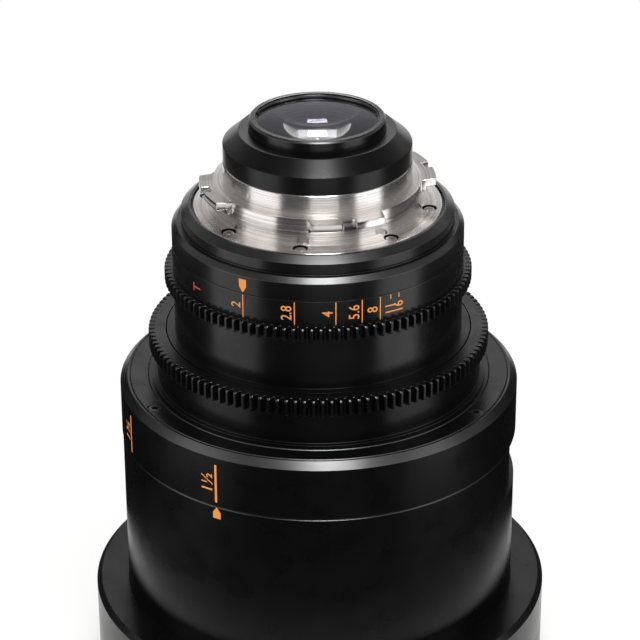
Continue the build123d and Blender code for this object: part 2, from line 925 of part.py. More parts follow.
# Middle optical cell, under the cam ring's shoulder
middle_cell_top = shoulder_top - middle_cell_drop
middle_flange_bottom = shoulder_bottom - middle_cell_flange
middle_cell_bottom = shoulder_bottom - middle_cell_length
middle_element_top = middle_cell_top - middle_lip_height
middle_spacer_top = middle_element_top - middle_rear_edge
middle_front_top = middle_spacer_top - middle_spacer_length
middle_ring_top = middle_front_top - middle_front_edge
middle_window_radius = middle_glass_radius - middle_lip_width
with BuildPart() as middle_cell:
    bore = middle_glass_radius + running_gap
    turn(
        (middle_window_radius, middle_cell_top),
        (cam_shoulder_radius - running_gap, middle_cell_top),
        (cam_shoulder_radius - running_gap, shoulder_bottom),
        (barrel_bore_radius - running_gap, shoulder_bottom),
        (barrel_bore_radius - running_gap, middle_flange_bottom),
        (middle_cell_radius, middle_flange_bottom),
        (middle_cell_radius, middle_cell_bottom),
        (bore, middle_cell_bottom),
        (bore, middle_element_top),
        (middle_window_radius, middle_element_top),
    )

with BuildPart() as middle_rear_element:
    element(
        middle_glass_radius,
        middle_window_radius,
        middle_element_top,
        middle_rear_edge,
        middle_rear_rise,
        middle_rear_drop,
    )

with BuildPart() as middle_spacer:
    ring(middle_glass_radius, middle_window_radius, middle_spacer_top, middle_front_top)

with BuildPart() as middle_front_element:
    element(
        middle_glass_radius,
        middle_window_radius,
        middle_front_top,
        middle_front_edge,
        middle_front_rise,
        middle_front_drop,
    )

with BuildPart() as middle_retaining_ring:
    ring(
        middle_glass_radius,
        middle_window_radius,
        middle_ring_top,
        middle_ring_top - middle_ring_thickness,
    )

# Focus bearing
with BuildPart() as bearing_fixed_race:
    ring(race_outer_radius, race_inner_radius, flange_bottom, race_bottom)
    with Locations((0, 0, ball_height)):
        Torus(ball_circle, ball_radius + running_gap, mode=Mode.SUBTRACT)

with BuildPart() as bearing_turning_race:
    ring(race_outer_radius, race_inner_radius, turning_race_top, sleeve_top)
    with Locations((0, 0, ball_height)):
        Torus(ball_circle, ball_radius + running_gap, mode=Mode.SUBTRACT)

with BuildPart() as bearing_balls:
    with Locations((0, 0, ball_height)):
        with PolarLocations(ball_circle, ball_count):
            Sphere(ball_radius)

with BuildPart() as bearing_cage:
    cage_top = ball_height + cage_thickness / 2
    ring(
        ball_circle + cage_width / 2,
        ball_circle - cage_width / 2,
        cage_top,
        cage_top - cage_thickness,
    )
    holes(ball_radius + running_gap, ball_circle, ball_count, 0, cage_top, cage_thickness)

# Focus ring
sleeve_socket_radius = sleeve_radius + snug_gap
with BuildPart() as focus_gear_ring:
    toothed_disc(focus_teeth, focus_gear_top, focus_gear_bottom)
    disc(focus_neck_radius, focus_gear_bottom, foot_top)
    disc(focus_foot_radius, foot_top, drum_top)
    disc(focus_gear_bore, focus_gear_top, sleeve_top, mode=Mode.SUBTRACT)
    disc(sleeve_socket_radius, sleeve_top, drum_top, mode=Mode.SUBTRACT)

drum_screw_start = index_angle + drum_screw_angle
with BuildPart() as focus_drum:
    turn(
        (sleeve_socket_radius, drum_top),
        (drum_radius - drum_chamfer, drum_top),
        (drum_radius, drum_edge),
        (drum_radius, drum_bottom + edge_break),
        (drum_radius - edge_break, drum_bottom),
        (drum_bore_radius, drum_bottom),
        (drum_bore_radius, drum_inner_top),
        (sleeve_socket_radius, drum_inner_top),
    )
    for groove in (drum_groove_radius, drum_radius - drum_chamfer - drum_edge_groove_inset):
        ring(
            groove,
            groove - drum_groove_width,
            drum_top,
            drum_top - drum_groove_depth,
            mode=Mode.SUBTRACT,
        )
    holes(
        drum_screw_head_radius + ring_gap,
        drum_screw_circle,
        drum_screw_count,
        drum_screw_start,
        drum_top,
        drum_screw_head_height,
    )
    holes(
        drum_screw_radius + snug_gap,
        drum_screw_circle,
        drum_screw_count,
        drum_screw_start,
        drum_top,
        drum_web,
    )

with BuildPart() as drum_screws:
    holes(
        drum_screw_head_radius,
        drum_screw_circle,
        drum_screw_count,
        drum_screw_start,
        drum_top,
        drum_screw_head_height,
        mode=Mode.ADD,
    )
    holes(
        drum_screw_radius,
        drum_screw_circle,
        drum_screw_count,
        drum_screw_start,
        drum_top,
        drum_screw_length,
        mode=Mode.ADD,
    )
    with BuildSketch(Plane.XY.offset(drum_top - drum_screw_socket_depth)):
        with PolarLocations(drum_screw_circle, drum_screw_count, start_angle=drum_screw_start):
            RegularPolygon(drum_screw_socket_radius, 6)
    extrude(amount=drum_screw_socket_depth, mode=Mode.SUBTRACT)

pin_half_angle = degrees(asin(stop_pin_radius / stop_pin_circle))
with BuildPart() as focus_sleeve:
    turn(
        (sleeve_bore_radius, sleeve_top),
        (sleeve_radius, sleeve_top),
        (sleeve_radius, drum_inner_top),
        (sleeve_flange_radius, drum_inner_top),
        (sleeve_flange_radius, sleeve_flange_bottom),
        (sleeve_radius, sleeve_flange_bottom),
        (sleeve_radius, sleeve_bottom),
        (sleeve_bore_radius, sleeve_bottom),
    )
    block_start = stop_pin_angle + pin_half_angle + stop_play_angle
    sector(
        stop_pin_circle + stop_block_width / 2,
        stop_pin_circle - stop_block_width / 2,
        sleeve_flange_bottom,
        stop_block_bottom,
        block_start,
        360 - focus_range - 2 * (pin_half_angle + stop_play_angle),
    )
    holes(
        drum_screw_radius + snug_gap,
        drum_screw_circle,
        drum_screw_count,
        drum_screw_start,
        drum_inner_top,
        drum_screw_length - drum_web + snug_gap,
    )

# Guide tube, with a straight slot for each key
with BuildPart() as guide_tube:
    ring(guide_radius, guide_bore_radius, guide_top, guide_bottom)
    with BuildSketch(Plane.XY.offset(guide_slot_bottom)):
        with PolarLocations(guide_radius, guide_slot_count, start_angle=guide_slot_angle):
            Rectangle(2 * (guide_radius - key_inner_radius), guide_slot_width)
    extrude(amount=guide_slot_top - guide_slot_bottom, mode=Mode.SUBTRACT)

with BuildPart() as guide_lock_ring:
    ring(guide_nut_radius, guide_socket_radius, front_web_bottom, guide_nut_bottom)

# Sliding focus group
key_width = guide_slot_width - 2 * running_gap
with BuildPart() as focus_keys:
    with BuildSketch(Plane.XY.offset(key_bottom)):
        with PolarLocations(key_radius, guide_slot_count, start_angle=guide_slot_angle):
            Rectangle(2 * key_radius - 2 * key_inner_radius, key_width)
        Circle(key_radius, mode=Mode.INTERSECT)
        Circle(key_inner_radius, mode=Mode.SUBTRACT)
    extrude(amount=key_length)

with BuildPart() as focus_carrier:
    ring(carrier_radius, carrier_bore_radius, carrier_top, carrier_bottom)
    with BuildSketch(Plane.XY.offset(key_bottom - snug_gap)):
        with PolarLocations(key_radius, guide_slot_count, start_angle=guide_slot_angle):
            Rectangle(2 * key_radius - 2 * key_inner_radius + cut_over, key_width + 2 * snug_gap)
        Circle(key_inner_radius - snug_gap, mode=Mode.SUBTRACT)
    extrude(amount=key_length + 2 * snug_gap, mode=Mode.SUBTRACT)

focus_element_top = focus_cell_top - focus_cell_lip
focus_spacer_top = focus_element_top - focus_rear_edge
focus_front_top = focus_spacer_top - focus_spacer_length
focus_ring_top = focus_front_top - focus_front_edge
focus_window_radius = focus_glass_radius - focus_lip_width
with BuildPart() as focus_cell:
    bore = focus_glass_radius + running_gap
    turn(
        (focus_window_radius, focus_cell_top),
        (focus_cell_radius, focus_cell_top),
        (focus_cell_radius, carrier_bottom),
        (focus_cell_flange_radius, carrier_bottom),
        (focus_cell_flange_radius, focus_cell_bottom),
        (bore, focus_cell_bottom),
        (bore, focus_element_top),
        (focus_window_radius, focus_element_top),
    )

with BuildPart() as focus_rear_element:
    element(
        focus_glass_radius,
        focus_window_radius,
        focus_element_top,
        focus_rear_edge,
        focus_rear_rise,
        focus_rear_drop,
    )

with BuildPart() as focus_spacer:
    ring(focus_glass_radius, focus_window_radius, focus_spacer_top, focus_front_top)

with BuildPart() as focus_front_element:
    element(
        focus_glass_radius,
        focus_window_radius,
        focus_front_top,
        focus_front_edge,
        focus_front_rise,
        focus_front_drop,
    )

with BuildPart() as focus_retaining_ring:
    ring(
        focus_glass_radius,
        focus_window_radius,
        focus_ring_top,
        focus_ring_top - focus_ring_thickness,
    )

# Front housing
with BuildPart() as front_housing:
    turn(
        (front_bore_radius, front_top),
        (front_radius - edge_break, front_top),
        (front_radius, front_top - edge_break),
        (front_radius, front_bottom),
        (front_bore_radius, front_bottom),
        (front_bore_radius, front_web_bottom),
        (guide_socket_radius, front_web_bottom),
        (guide_socket_radius, front_web_top),
        (front_bore_radius, front_web_top),
    )
    sector(
        front_radius + cut_over,
        pocket_radius,
        front_top,
        front_top - pocket_length,
        index_angle + pocket_angle,
        pocket_span,
        mode=Mode.SUBTRACT,
    )
    holes(
        stop_pin_radius + snug_gap, stop_pin_circle, 1, stop_pin_angle, front_web_top, stop_pin_depth
    )

with BuildPart() as focus_stop_pin:
    holes(
        stop_pin_radius,
        stop_pin_circle,
        1,
        stop_pin_angle,
        front_web_top + stop_pin_height,
        stop_pin_height + stop_pin_depth,
        mode=Mode.ADD,
    )

# Front optical cell
inner_window_radius = inner_glass_radius - inner_lip_width
front_middle_top = inner_lip_top + front_middle_edge
front_inner_bottom = front_middle_top + front_spacer_length
front_inner_top = front_inner_bottom + front_inner_edge
shelf_radius = front_glass_radius - front_shelf_width
front_ring_top = front_shelf - front_element_edge
with BuildPart() as front_cell:
    bore = inner_glass_radius + running_gap
    glass_bore = front_glass_radius + running_gap
    turn(
        (bore, front_cell_top),
        (front_cell_radius, front_cell_top),
        (front_cell_radius, front_cell_top - front_cell_land),
        (front_cell_relief_radius, front_cell_top - front_cell_land),
        (front_cell_relief_radius, front_bottom + front_cell_land),
        (front_cell_radius, front_bottom + front_cell_land),
        (front_cell_radius, front_bottom),
        (front_cell_flange_radius, front_bottom),
        (front_cell_flange_radius, front_cell_bottom),
        (glass_bore, front_cell_bottom),
        (glass_bore, front_shelf),
        (shelf_radius, front_shelf),
        (inner_window_radius, inner_lip_bottom),
        (inner_window_radius, inner_lip_top),
        (bore, inner_lip_top),
    )

with BuildPart() as front_middle_element:
    element(
        inner_glass_radius,
        inner_window_radius,
        front_middle_top,
        front_middle_edge,
        front_middle_rise,
        front_middle_drop,
    )

with BuildPart() as front_spacer:
    ring(inner_glass_radius, inner_window_radius, front_inner_bottom, front_middle_top)

with BuildPart() as front_inner_element:
    element(
        inner_glass_radius,
        inner_window_radius,
        front_inner_top,
        front_inner_edge,
        front_inner_rise,
        front_inner_drop,
    )

with BuildPart() as front_inner_ring:
    ring(
        inner_glass_radius,
        inner_window_radius,
        front_inner_top + front_inner_ring_thickness,
        front_inner_top,
    )

with BuildPart() as front_element:
    element(
        front_glass_radius,
        shelf_radius,
        front_shelf,
        front_element_edge,
        front_element_rise,
        front_element_drop,
    )

with BuildPart() as front_retaining_ring:
    ring(
        front_glass_radius,
        shelf_radius,
        front_ring_top,
        front_cell_bottom + front_ring_margin,
    )

# Front bell
with BuildPart() as front_bell:
    spigot = front_radius + snug_gap
    turn(
        (spigot, bell_top),
        (bell_radius - bell_chamfer, bell_top),
        (bell_radius, bell_top - bell_chamfer),
        (bell_radius, bell_bottom + bell_chamfer),
        (bell_radius - bell_chamfer, bell_bottom),
        (filter_radius, bell_bottom),
        (filter_radius, filter_top),
        (bell_wall_radius, filter_top),
        (bell_wall_radius, front_bottom),
        (spigot, front_bottom),
    )

lens_mount.part.label = "lens_mount"
mount_screws.part.label = "mount_screws"
mount_shim.part.label = "mount_shim"
rear_housing.part.label = "rear_housing"
housing_screws.part.label = "housing_screws"
rear_shroud.part.label = "rear_shroud"
rear_cell.part.label = "rear_cell"
rear_lock_ring.part.label = "rear_lock_ring"
rear_retaining_ring.part.label = "rear_retaining_ring"
rear_element.part.label = "rear_element"
rear_spacer.part.label = "rear_spacer"
rear_middle_element.part.label = "rear_middle_element"
rear_inner_element.part.label = "rear_inner_element"
iris_base_plate.part.label = "iris_base_plate"
iris_cam_ring.part.label = "iris_cam_ring"
iris_drive_pin.part.label = "iris_drive_pin"
iris_scale_ring.part.label = "iris_scale_ring"
iris_gear_ring.part.label = "iris_gear_ring"
main_barrel.part.label = "main_barrel"
middle_cell.part.label = "middle_cell"
middle_rear_element.part.label = "middle_rear_element"
middle_spacer.part.label = "middle_spacer"
middle_front_element.part.label = "middle_front_element"
middle_retaining_ring.part.label = "middle_retaining_ring"
bearing_fixed_race.part.label = "bearing_fixed_race"
bearing_turning_race.part.label = "bearing_turning_race"
bearing_balls.part.label = "bearing_balls"
bearing_cage.part.label = "bearing_cage"
focus_gear_ring.part.label = "focus_gear_ring"
focus_drum.part.label = "focus_drum"
drum_screws.part.label = "drum_screws"
focus_sleeve.part.label = "focus_sleeve"
guide_tube.part.label = "guide_tube"
guide_lock_ring.part.label = "guide_lock_ring"
focus_keys.part.label = "focus_keys"
focus_carrier.part.label = "focus_carrier"
focus_cell.part.label = "focus_cell"
focus_rear_element.part.label = "focus_rear_element"
focus_spacer.part.label = "focus_spacer"
focus_front_element.part.label = "focus_front_element"
focus_retaining_ring.part.label = "focus_retaining_ring"
front_housing.part.label = "front_housing"
focus_stop_pin.part.label = "focus_stop_pin"
front_cell.part.label = "front_cell"
front_middle_element.part.label = "front_middle_element"
front_spacer.part.label = "front_spacer"
front_inner_element.part.label = "front_inner_element"
front_inner_ring.part.label = "front_inner_ring"
front_element.part.label = "front_element"
front_retaining_ring.part.label = "front_retaining_ring"
front_bell.part.label = "front_bell"

pieces = [
    lens_mount,
    mount_screws,
    mount_shim,
    rear_housing,
    housing_screws,
    rear_shroud,
    rear_cell,
    rear_lock_ring,
    rear_retaining_ring,
    rear_element,
    rear_spacer,
    rear_middle_element,
    rear_inner_element,
    iris_base_plate,
    *blades,
    iris_cam_ring,
    iris_drive_pin,
    iris_scale_ring,
    iris_gear_ring,
    main_barrel,
    middle_cell,
    middle_rear_element,
    middle_spacer,
    middle_front_element,
    middle_retaining_ring,
    bearing_fixed_race,
    bearing_turning_race,
    bearing_balls,
    bearing_cage,
    focus_gear_ring,
    focus_drum,
    drum_screws,
    focus_sleeve,
    guide_tube,
    guide_lock_ring,
    focus_keys,
    focus_carrier,
    focus_cell,
    focus_rear_element,
    focus_spacer,
    focus_front_element,
    focus_retaining_ring,
    front_housing,
    focus_stop_pin,
    front_cell,
    front_middle_element,
    front_spacer,
    front_inner_element,
    front_inner_ring,
    front_element,
    front_retaining_ring,
    front_bell,
]

os.makedirs("parts", exist_ok=True)
for piece in pieces:
    export_step(piece.part, f"parts/{piece.part.label}.step")
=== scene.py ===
import json
import logging
from dataclasses import dataclass
from enum import Enum
from functools import cache
from math import cos, inf, pi, radians, sin
from typing import Callable, ClassVar, Iterable, Optional, Sequence

import bmesh
import bpy
from bmesh.types import BMEdge, BMesh, BMFace, BMVert
from bpy.types import Material, MeshPolygon, Node, NodeSocket, NodeTree
from mathutils import Matrix, Vector


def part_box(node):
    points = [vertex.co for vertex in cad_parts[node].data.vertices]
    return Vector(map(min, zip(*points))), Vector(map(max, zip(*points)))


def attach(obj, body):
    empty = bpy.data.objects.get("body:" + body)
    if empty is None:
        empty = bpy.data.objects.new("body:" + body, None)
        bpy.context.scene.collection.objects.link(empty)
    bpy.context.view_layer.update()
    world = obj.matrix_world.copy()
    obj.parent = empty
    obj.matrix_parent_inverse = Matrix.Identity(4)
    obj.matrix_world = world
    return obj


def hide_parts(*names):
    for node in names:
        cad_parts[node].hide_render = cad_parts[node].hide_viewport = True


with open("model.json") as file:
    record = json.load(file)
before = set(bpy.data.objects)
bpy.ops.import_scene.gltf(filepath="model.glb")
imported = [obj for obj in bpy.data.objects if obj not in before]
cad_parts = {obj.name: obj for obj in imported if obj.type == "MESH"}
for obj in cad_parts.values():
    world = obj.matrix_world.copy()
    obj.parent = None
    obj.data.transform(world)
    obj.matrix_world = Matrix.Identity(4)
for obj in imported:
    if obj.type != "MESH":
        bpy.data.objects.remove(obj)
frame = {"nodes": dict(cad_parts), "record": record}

log = logging.getLogger("cinema_lens")
Point = tuple[float, float]
FaceTest = Callable[[MeshPolygon], bool]
ShaderMaker = Callable[[NodeTree], Node]

MM = 0.001
FULL_TURN = 2 * pi
ROUND_STEPS = 240
CUTTER_STEPS = 48
HEXAGON_STEPS = 6
LETTER_STEPS = 4
CUT_OVER = 1.0
MERGE_DISTANCE = 0.0005
SHARE_TOLERANCE = 0.0001
SHARP_ANGLE = 28.0
SMOOTH_ANGLE = 40.0
CHAMFER_SLOPES = (0.3, 0.95)  # upright share of a chamfer's normal
INDEX_ANGLE = -90.0  # where the index marks face, about the optical axis from +X
PATCH_SIZE = 9.0  # millimetres across a patch of even gloss
PATCH_CHANGE = 0.035
PATCH_LIMITS = (0.3, 0.7)
PATCH_DETAIL = 2.0
RING_DRIFT = 0.004  # how little the tool marks change on their way round
STREAK_LIMITS = (0.32, 0.66)
ACROSS_MARKS = 0.25  # turns from the tangent, so that reflections spread across the tool marks
PAINT = 0.06  # thickness of the enamel, half of it under the surface
POINTER_WALL_SHARE = 0.55  # straight part of a pointer's height
PHOTO_SIDE = 640
BEVEL = {
    "offset_type": "OFFSET",
    "affect": "EDGES",
    "profile": 0.5,
    "material": -1,
    "clamp_overlap": True,
}
READ_UPWARDS = Matrix.Rotation(pi / 2, 3, "Z")


class Body(Enum):
    """Bodies of the frame that pieces ride on."""

    HOUSING = "housing"
    IRIS = "iris_ring"
    FOCUS = "focus_ring"


class Slot(Enum):
    """Material slots of the record."""

    BLACK = "black_anodised"
    MATT = "matt_black"
    STEEL = "stainless_steel"
    GLASS = "optical_glass"
    BRASS = "brass"
    SCREW = "black_steel"
    BEARING = "bearing_steel"
    BLADE = "blade_steel"


# Finishes


def linear(hex_code: str) -> tuple[float, float, float, float]:
    """Turn an sRGB hex value into a linear colour.

    Args:
        hex_code: Six hex digits.

    Returns:
        Linear red, green, blue and an alpha of 1.
    """
    shares = [int(hex_code[i : i + 2], 16) / 255 for i in (0, 2, 4)]
    red, green, blue = (s / 12.92 if s <= 0.04045 else ((s + 0.055) / 1.055) ** 2.4 for s in shares)
    return red, green, blue, 1.0


def cleared(holder: Material | bpy.types.World) -> NodeTree:
    """Switch on the nodes of a material or world and clear them.

    Args:
        holder: The material or world.

    Returns:
        Its empty node tree.
    """
    holder.use_nodes = True
    holder.node_tree.nodes.clear()
    return holder.node_tree


def add_node(tree: NodeTree, kind: str, inputs: Optional[dict] = None, **settings: object) -> Node:
    """Add a node with its settings, values and links.

    Args:
        tree: Node tree that gets the node.
        kind: Blender's name of the node.
        inputs: Value, or output socket to link, of each input by name or number.
        settings: Attributes of the node.

    Returns:
        The new node.
    """
    node = tree.nodes.new(kind)
    for name, value in settings.items():
        setattr(node, name, value)
    for name, value in (inputs or {}).items():
        if isinstance(value, NodeSocket):
            tree.links.new(value, node.inputs[name])
        else:
            node.inputs[name].default_value = value
    return node


def axis_distance(tree: NodeTree, place: NodeSocket) -> NodeSocket:
    """Return the distance of a place from the optical axis."""
    level = add_node(tree, "ShaderNodeVectorMath", {0: place, 1: (1, 1, 0)}, operation="MULTIPLY")
    return add_node(tree, "ShaderNodeVectorMath", {0: level.outputs[0]}, operation="LENGTH").outputs["Value"]


def limits(before: Point, after: Point = (0.0, 1.0)) -> dict[str, float]:
    """Name the socket values that map one range to another."""
    return dict(zip(("From Min", "From Max", "To Min", "To Max"), (*before, *after)))


@dataclass(frozen=True)
class Finish:
    """A surface finish, from which one material is made.

    Attributes:
        name: What the real surface is.
        slot: Record's slot that it stands for.
        colour: Its sRGB hex colour.
        roughness: Its middle roughness.
        grain: Size of its surface grain in millimetres.
        relief: Height of that grain in millimetres.
        detail: Finer layers of that grain.
    """

    name: str
    slot: Slot
    colour: str
    roughness: float
    grain: float
    relief: float
    detail: ClassVar[float] = 3.0

    def material(self) -> Material:
        """Make the finish's material, or find the one that is made.

        Returns:
            The material.
        """
        made = bpy.data.materials.get(self.name)
        if made is None:
            made = bpy.data.materials.new(self.name)
            tree = cleared(made)
            place = add_node(tree, "ShaderNodeTexCoord").outputs["Object"]
            add_node(tree, "ShaderNodeOutputMaterial", {"Surface": self.shader(tree, place).outputs[0]})
        return made

    def pattern(self, tree: NodeTree, place: NodeSocket) -> NodeSocket:
        """Return the height pattern of the surface: a fine even grain."""
        inputs = {"Vector": place, "Scale": 1 / (self.grain * MM), "Detail": self.detail}
        return add_node(tree, "ShaderNodeTexNoise", inputs).outputs["Fac"]

    def shader(self, tree: NodeTree, place: NodeSocket) -> Node:
        """Build the shader with a fine relief and an uneven gloss.

        Args:
            tree: Node tree of the material.
            place: Socket of the object coordinates.

        Returns:
            The shader node.
        """
        height = self.pattern(tree, place)
        relief = {"Height": height, "Distance": self.relief * MM, "Strength": 1.0}
        bump = add_node(tree, "ShaderNodeBump", relief)
        spread = {"Vector": place, "Scale": 1 / (PATCH_SIZE * MM), "Detail": PATCH_DETAIL}
        patches = add_node(tree, "ShaderNodeTexNoise", spread).outputs["Fac"]
        around = (self.roughness - PATCH_CHANGE, self.roughness + PATCH_CHANGE)
        gloss = add_node(tree, "ShaderNodeMapRange", {"Value": patches, **limits(PATCH_LIMITS, around)})
        inputs = {"Base Color": linear(self.colour), "Roughness": gloss.outputs[0]}
        inputs |= {"Normal": bump.outputs[0], **self.sockets(tree, height)}
        return add_node(tree, "ShaderNodeBsdfPrincipled", inputs)

    def sockets(self, tree: NodeTree, height: NodeSocket) -> dict:
        """Return the shader's own sockets."""
        return {}


@dataclass(frozen=True)
class Anodised(Finish):
    """Dyed and sealed anodised aluminium: a hard satin film over fine blasting."""

    specular: float = 0.5

    def sockets(self, tree: NodeTree, height: NodeSocket) -> dict:
        """Return the film's gloss at its sealed surface."""
        return {"Specular IOR Level": self.specular}


@dataclass(frozen=True)
class Metal(Finish):
    """Bare metal, turned on a lathe: fine rings about the axis spread its reflections along it."""

    dark: str = "808080"
    stretch: float = 0.0
    detail: ClassVar[float] = 2.0

    def pattern(self, tree: NodeTree, place: NodeSocket) -> NodeSocket:
        """Draw rings of tool marks, which depend on the radius and the height.

        Args:
            tree: Node tree of the material.
            place: Socket of the object coordinates.

        Returns:
            The height of the marks.
        """
        parts = add_node(tree, "ShaderNodeSeparateXYZ", {"Vector": place}).outputs
        drift = add_node(tree, "ShaderNodeMath", {0: parts["X"], 1: RING_DRIFT}, operation="MULTIPLY")
        rings = {"X": axis_distance(tree, place), "Y": parts["Z"], "Z": drift.outputs[0]}
        return super().pattern(tree, add_node(tree, "ShaderNodeCombineXYZ", rings).outputs[0])

    def sockets(self, tree: NodeTree, height: NodeSocket) -> dict:
        """Make full metal with streaked colour, its reflections stretched across the tool marks.

        Args:
            tree: Node tree of the material.
            height: Height of the tool marks.

        Returns:
            Values and links of the shader's sockets.
        """
        streaks = add_node(tree, "ShaderNodeMapRange", {"Value": height, **limits(STREAK_LIMITS)}).outputs[0]
        inputs = {"Factor": streaks, "A": linear(self.dark), "B": linear(self.colour)}
        colour = add_node(tree, "ShaderNodeMix", inputs, data_type="RGBA")
        values = {"Metallic": 1.0, "Base Color": colour.outputs["Result"]}
        if self.stretch:
            tangent = add_node(tree, "ShaderNodeTangent", direction_type="RADIAL", axis="Z").outputs[0]
            values |= {"Anisotropic": self.stretch, "Anisotropic Rotation": ACROSS_MARKS, "Tangent": tangent}
        return values


@dataclass(frozen=True)
class Glass(Finish):
    """Polished optical glass under a thin coating that tints its reflections."""

    tint: str = "FFFFFF"
    ior: float = 1.52

    def sockets(self, tree: NodeTree, height: NodeSocket) -> dict:
        """Return clear transmission with the coating's tint."""
        return {"Transmission Weight": 1.0, "IOR": self.ior, "Specular Tint": linear(self.tint)}


# The body is black anodised over fine blasting, so its flats are deep black and its edges catch light
SATIN_BLACK = Anodised("satin black anodised aluminium", Slot.BLACK, "060607", 0.25, 0.5, 0.0005, 0.4)
# The drum and the front housing have a slightly coarser blasting and a softer sheen
BLASTED_BLACK = Anodised("blasted black anodised aluminium", Slot.BLACK, "050506", 0.29, 0.6, 0.0006, 0.33)
# Chamfers are cut with a finer tool, so their film is smoother and catches the lamps
CUT_EDGE = Anodised("fine cut anodised edge", Slot.BLACK, "0C0C0D", 0.3, 0.5, 0.0005, 1.0)
# Inner walls are left matt, which swallows stray light
MATT_BLACK = Anodised("matt black anodised aluminium", Slot.MATT, "0A0A0B", 0.6, 0.5, 0.004, 0.25)
# The mount is turned stainless steel. Its tool marks are 0.05 mm apart, drawn at 0.45 mm so that they show
TURNED_STEEL = Metal("turned stainless steel", Slot.STEEL, "F2EEEB", 0.24, 0.45, 0.001, "C8C3C0", 0.82)
# Wings and screws are milled and polished, so they stand out in crisp light and dark. Their colour is set a
# shade darker than the turned steel's as painted shade, so that the wing tops look dimmer
MILLED_STEEL = Metal("milled stainless steel", Slot.STEEL, "E2DEDB", 0.14, 0.4, 0.0005, "BEB9B6")
# Painted shade: the steel on the walls and floors of the screws' counterbores is coloured dark to stand in
# for the shade in those narrow gaps
COUNTERBORE_SHADE_STEEL = Metal("steel with painted counterbore shade", Slot.STEEL, "3A3634", 0.5, 0.4, 0.001, "24211F")
# Oxide blackening leaves a thin dark film on steel screws
BLACK_OXIDE = Anodised("black oxide steel", Slot.SCREW, "111112", 0.35, 0.3, 0.001, 0.6)
# Coated elements reflect a faint violet
COATED_GLASS = Glass("coated optical glass", Slot.GLASS, "FFFFFF", 0.04, 2.0, 0.0, "C9C0E4", 1.85)
# Turned brass of the cam ring and the key parts, yellow and bright
TURNED_BRASS = Metal("turned brass", Slot.BRASS, "D8B672", 0.25, 0.2, 0.0012, "B8954F", 0.5)
# Ground steel of the bearing races and balls, almost a mirror
GROUND_STEEL = Metal("ground bearing steel", Slot.BEARING, "C8C9CC", 0.12, 0.2, 0.0003, "B4B5B9")
# The blades are spring steel with a dry black lubricant coat
BLADE_BLACK = Anodised("dry coated blade steel", Slot.BLADE, "18181A", 0.5, 0.3, 0.0015, 0.4)
# Engraved marks are filled with enamel paint, an even soft colour almost flush with the surface
ORANGE_ENAMEL = Anodised("orange enamel filling", Slot.BLACK, "DC8A42", 0.5, 0.4, 0.002, 0.3)
RED_ENAMEL = Anodised("red enamel filling", Slot.BLACK, "B8403A", 0.5, 0.4, 0.002, 0.3)

CARRIED_FINISHES = {
    finish.slot: finish
    for finish in (
        SATIN_BLACK, MATT_BLACK, MILLED_STEEL, COATED_GLASS,
        TURNED_BRASS, BLACK_OXIDE, GROUND_STEEL, BLADE_BLACK,
    )
}


# Shapes, all in millimetres until they are finished


@dataclass(frozen=True)
class Extent:
    """Outer radius, top and bottom of a round CAD node, in millimetres."""

    radius: float
    top: float
    bottom: float


@cache
def extent(node: str) -> Extent:
    """Read a round node's extent from the frame."""
    low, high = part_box(node)
    return Extent(high.x / MM, high.z / MM, low.z / MM)


def spun(shape: BMesh, geometry: Sequence, angle: float, steps: int, **options: bool) -> BMesh:
    """Spin a part of a shape about the optical axis.

    Args:
        shape: The shape.
        geometry: Corners, edges and faces that are spun.
        angle: How far, in radians.
        steps: In how many steps.
        options: use_merge for a full turn, or use_duplicate for copies.

    Returns:
        The same shape.
    """
    axis = {"axis": (0, 0, 1), "cent": (0, 0, 0)}
    bmesh.ops.spin(shape, geom=geometry, angle=angle, steps=steps, **axis, **options)
    return shape


def repeated(shape: BMesh, angle: float, copies: int) -> BMesh:
    """Repeat a whole shape round the axis, one copy at each step of an angle in radians."""
    everything = shape.verts[:] + shape.edges[:] + shape.faces[:]
    return spun(shape, everything, angle * copies, copies, use_duplicate=True)


def closed(shape: BMesh) -> BMesh:
    """Merge a shape's doubles, drop its loose edges and turn its faces outwards.

    Args:
        shape: The shape.

    Returns:
        The same shape.
    """
    bmesh.ops.remove_doubles(shape, verts=shape.verts, dist=MERGE_DISTANCE)
    bmesh.ops.delete(shape, geom=[e for e in shape.edges if not e.link_faces], context="EDGES")
    bmesh.ops.recalc_face_normals(shape, faces=shape.faces)
    return shape


def turned(outline: Sequence[Point], steps: int = ROUND_STEPS) -> BMesh:
    """Turn a closed outline about the optical axis.

    Args:
        outline: Radius and height of each corner.
        steps: Facets round the turn.

    Returns:
        The closed shape.
    """
    shape = bmesh.new()
    corners = [shape.verts.new((radius, 0, height)) for radius, height in outline]
    edges = [shape.edges.new(pair) for pair in zip(corners, corners[1:] + corners[:1])]
    return closed(spun(shape, corners + edges, FULL_TURN, steps, use_merge=True))


def raised(shape: BMesh, faces: Sequence[BMFace], height: float) -> None:
    """Extrude faces along the axis. They stay where they start as well.

    Args:
        shape: Shape that they belong to.
        faces: The faces.
        height: How far up they go.
    """
    grown = bmesh.ops.extrude_face_region(shape, geom=faces, use_keep_orig=True)
    moved = [g for g in grown["geom"] if isinstance(g, BMVert)]
    bmesh.ops.translate(shape, vec=(0, 0, height), verts=moved)


def add_pin(shape: BMesh, radius: float, depth: float, place: Matrix, steps: int = CUTTER_STEPS) -> None:
    """Add an upright pin of a radius and depth to a shape, with its middle at a place."""
    size = {"radius1": radius, "radius2": radius, "depth": depth}
    bmesh.ops.create_cone(shape, cap_ends=True, segments=steps, matrix=place, **size)


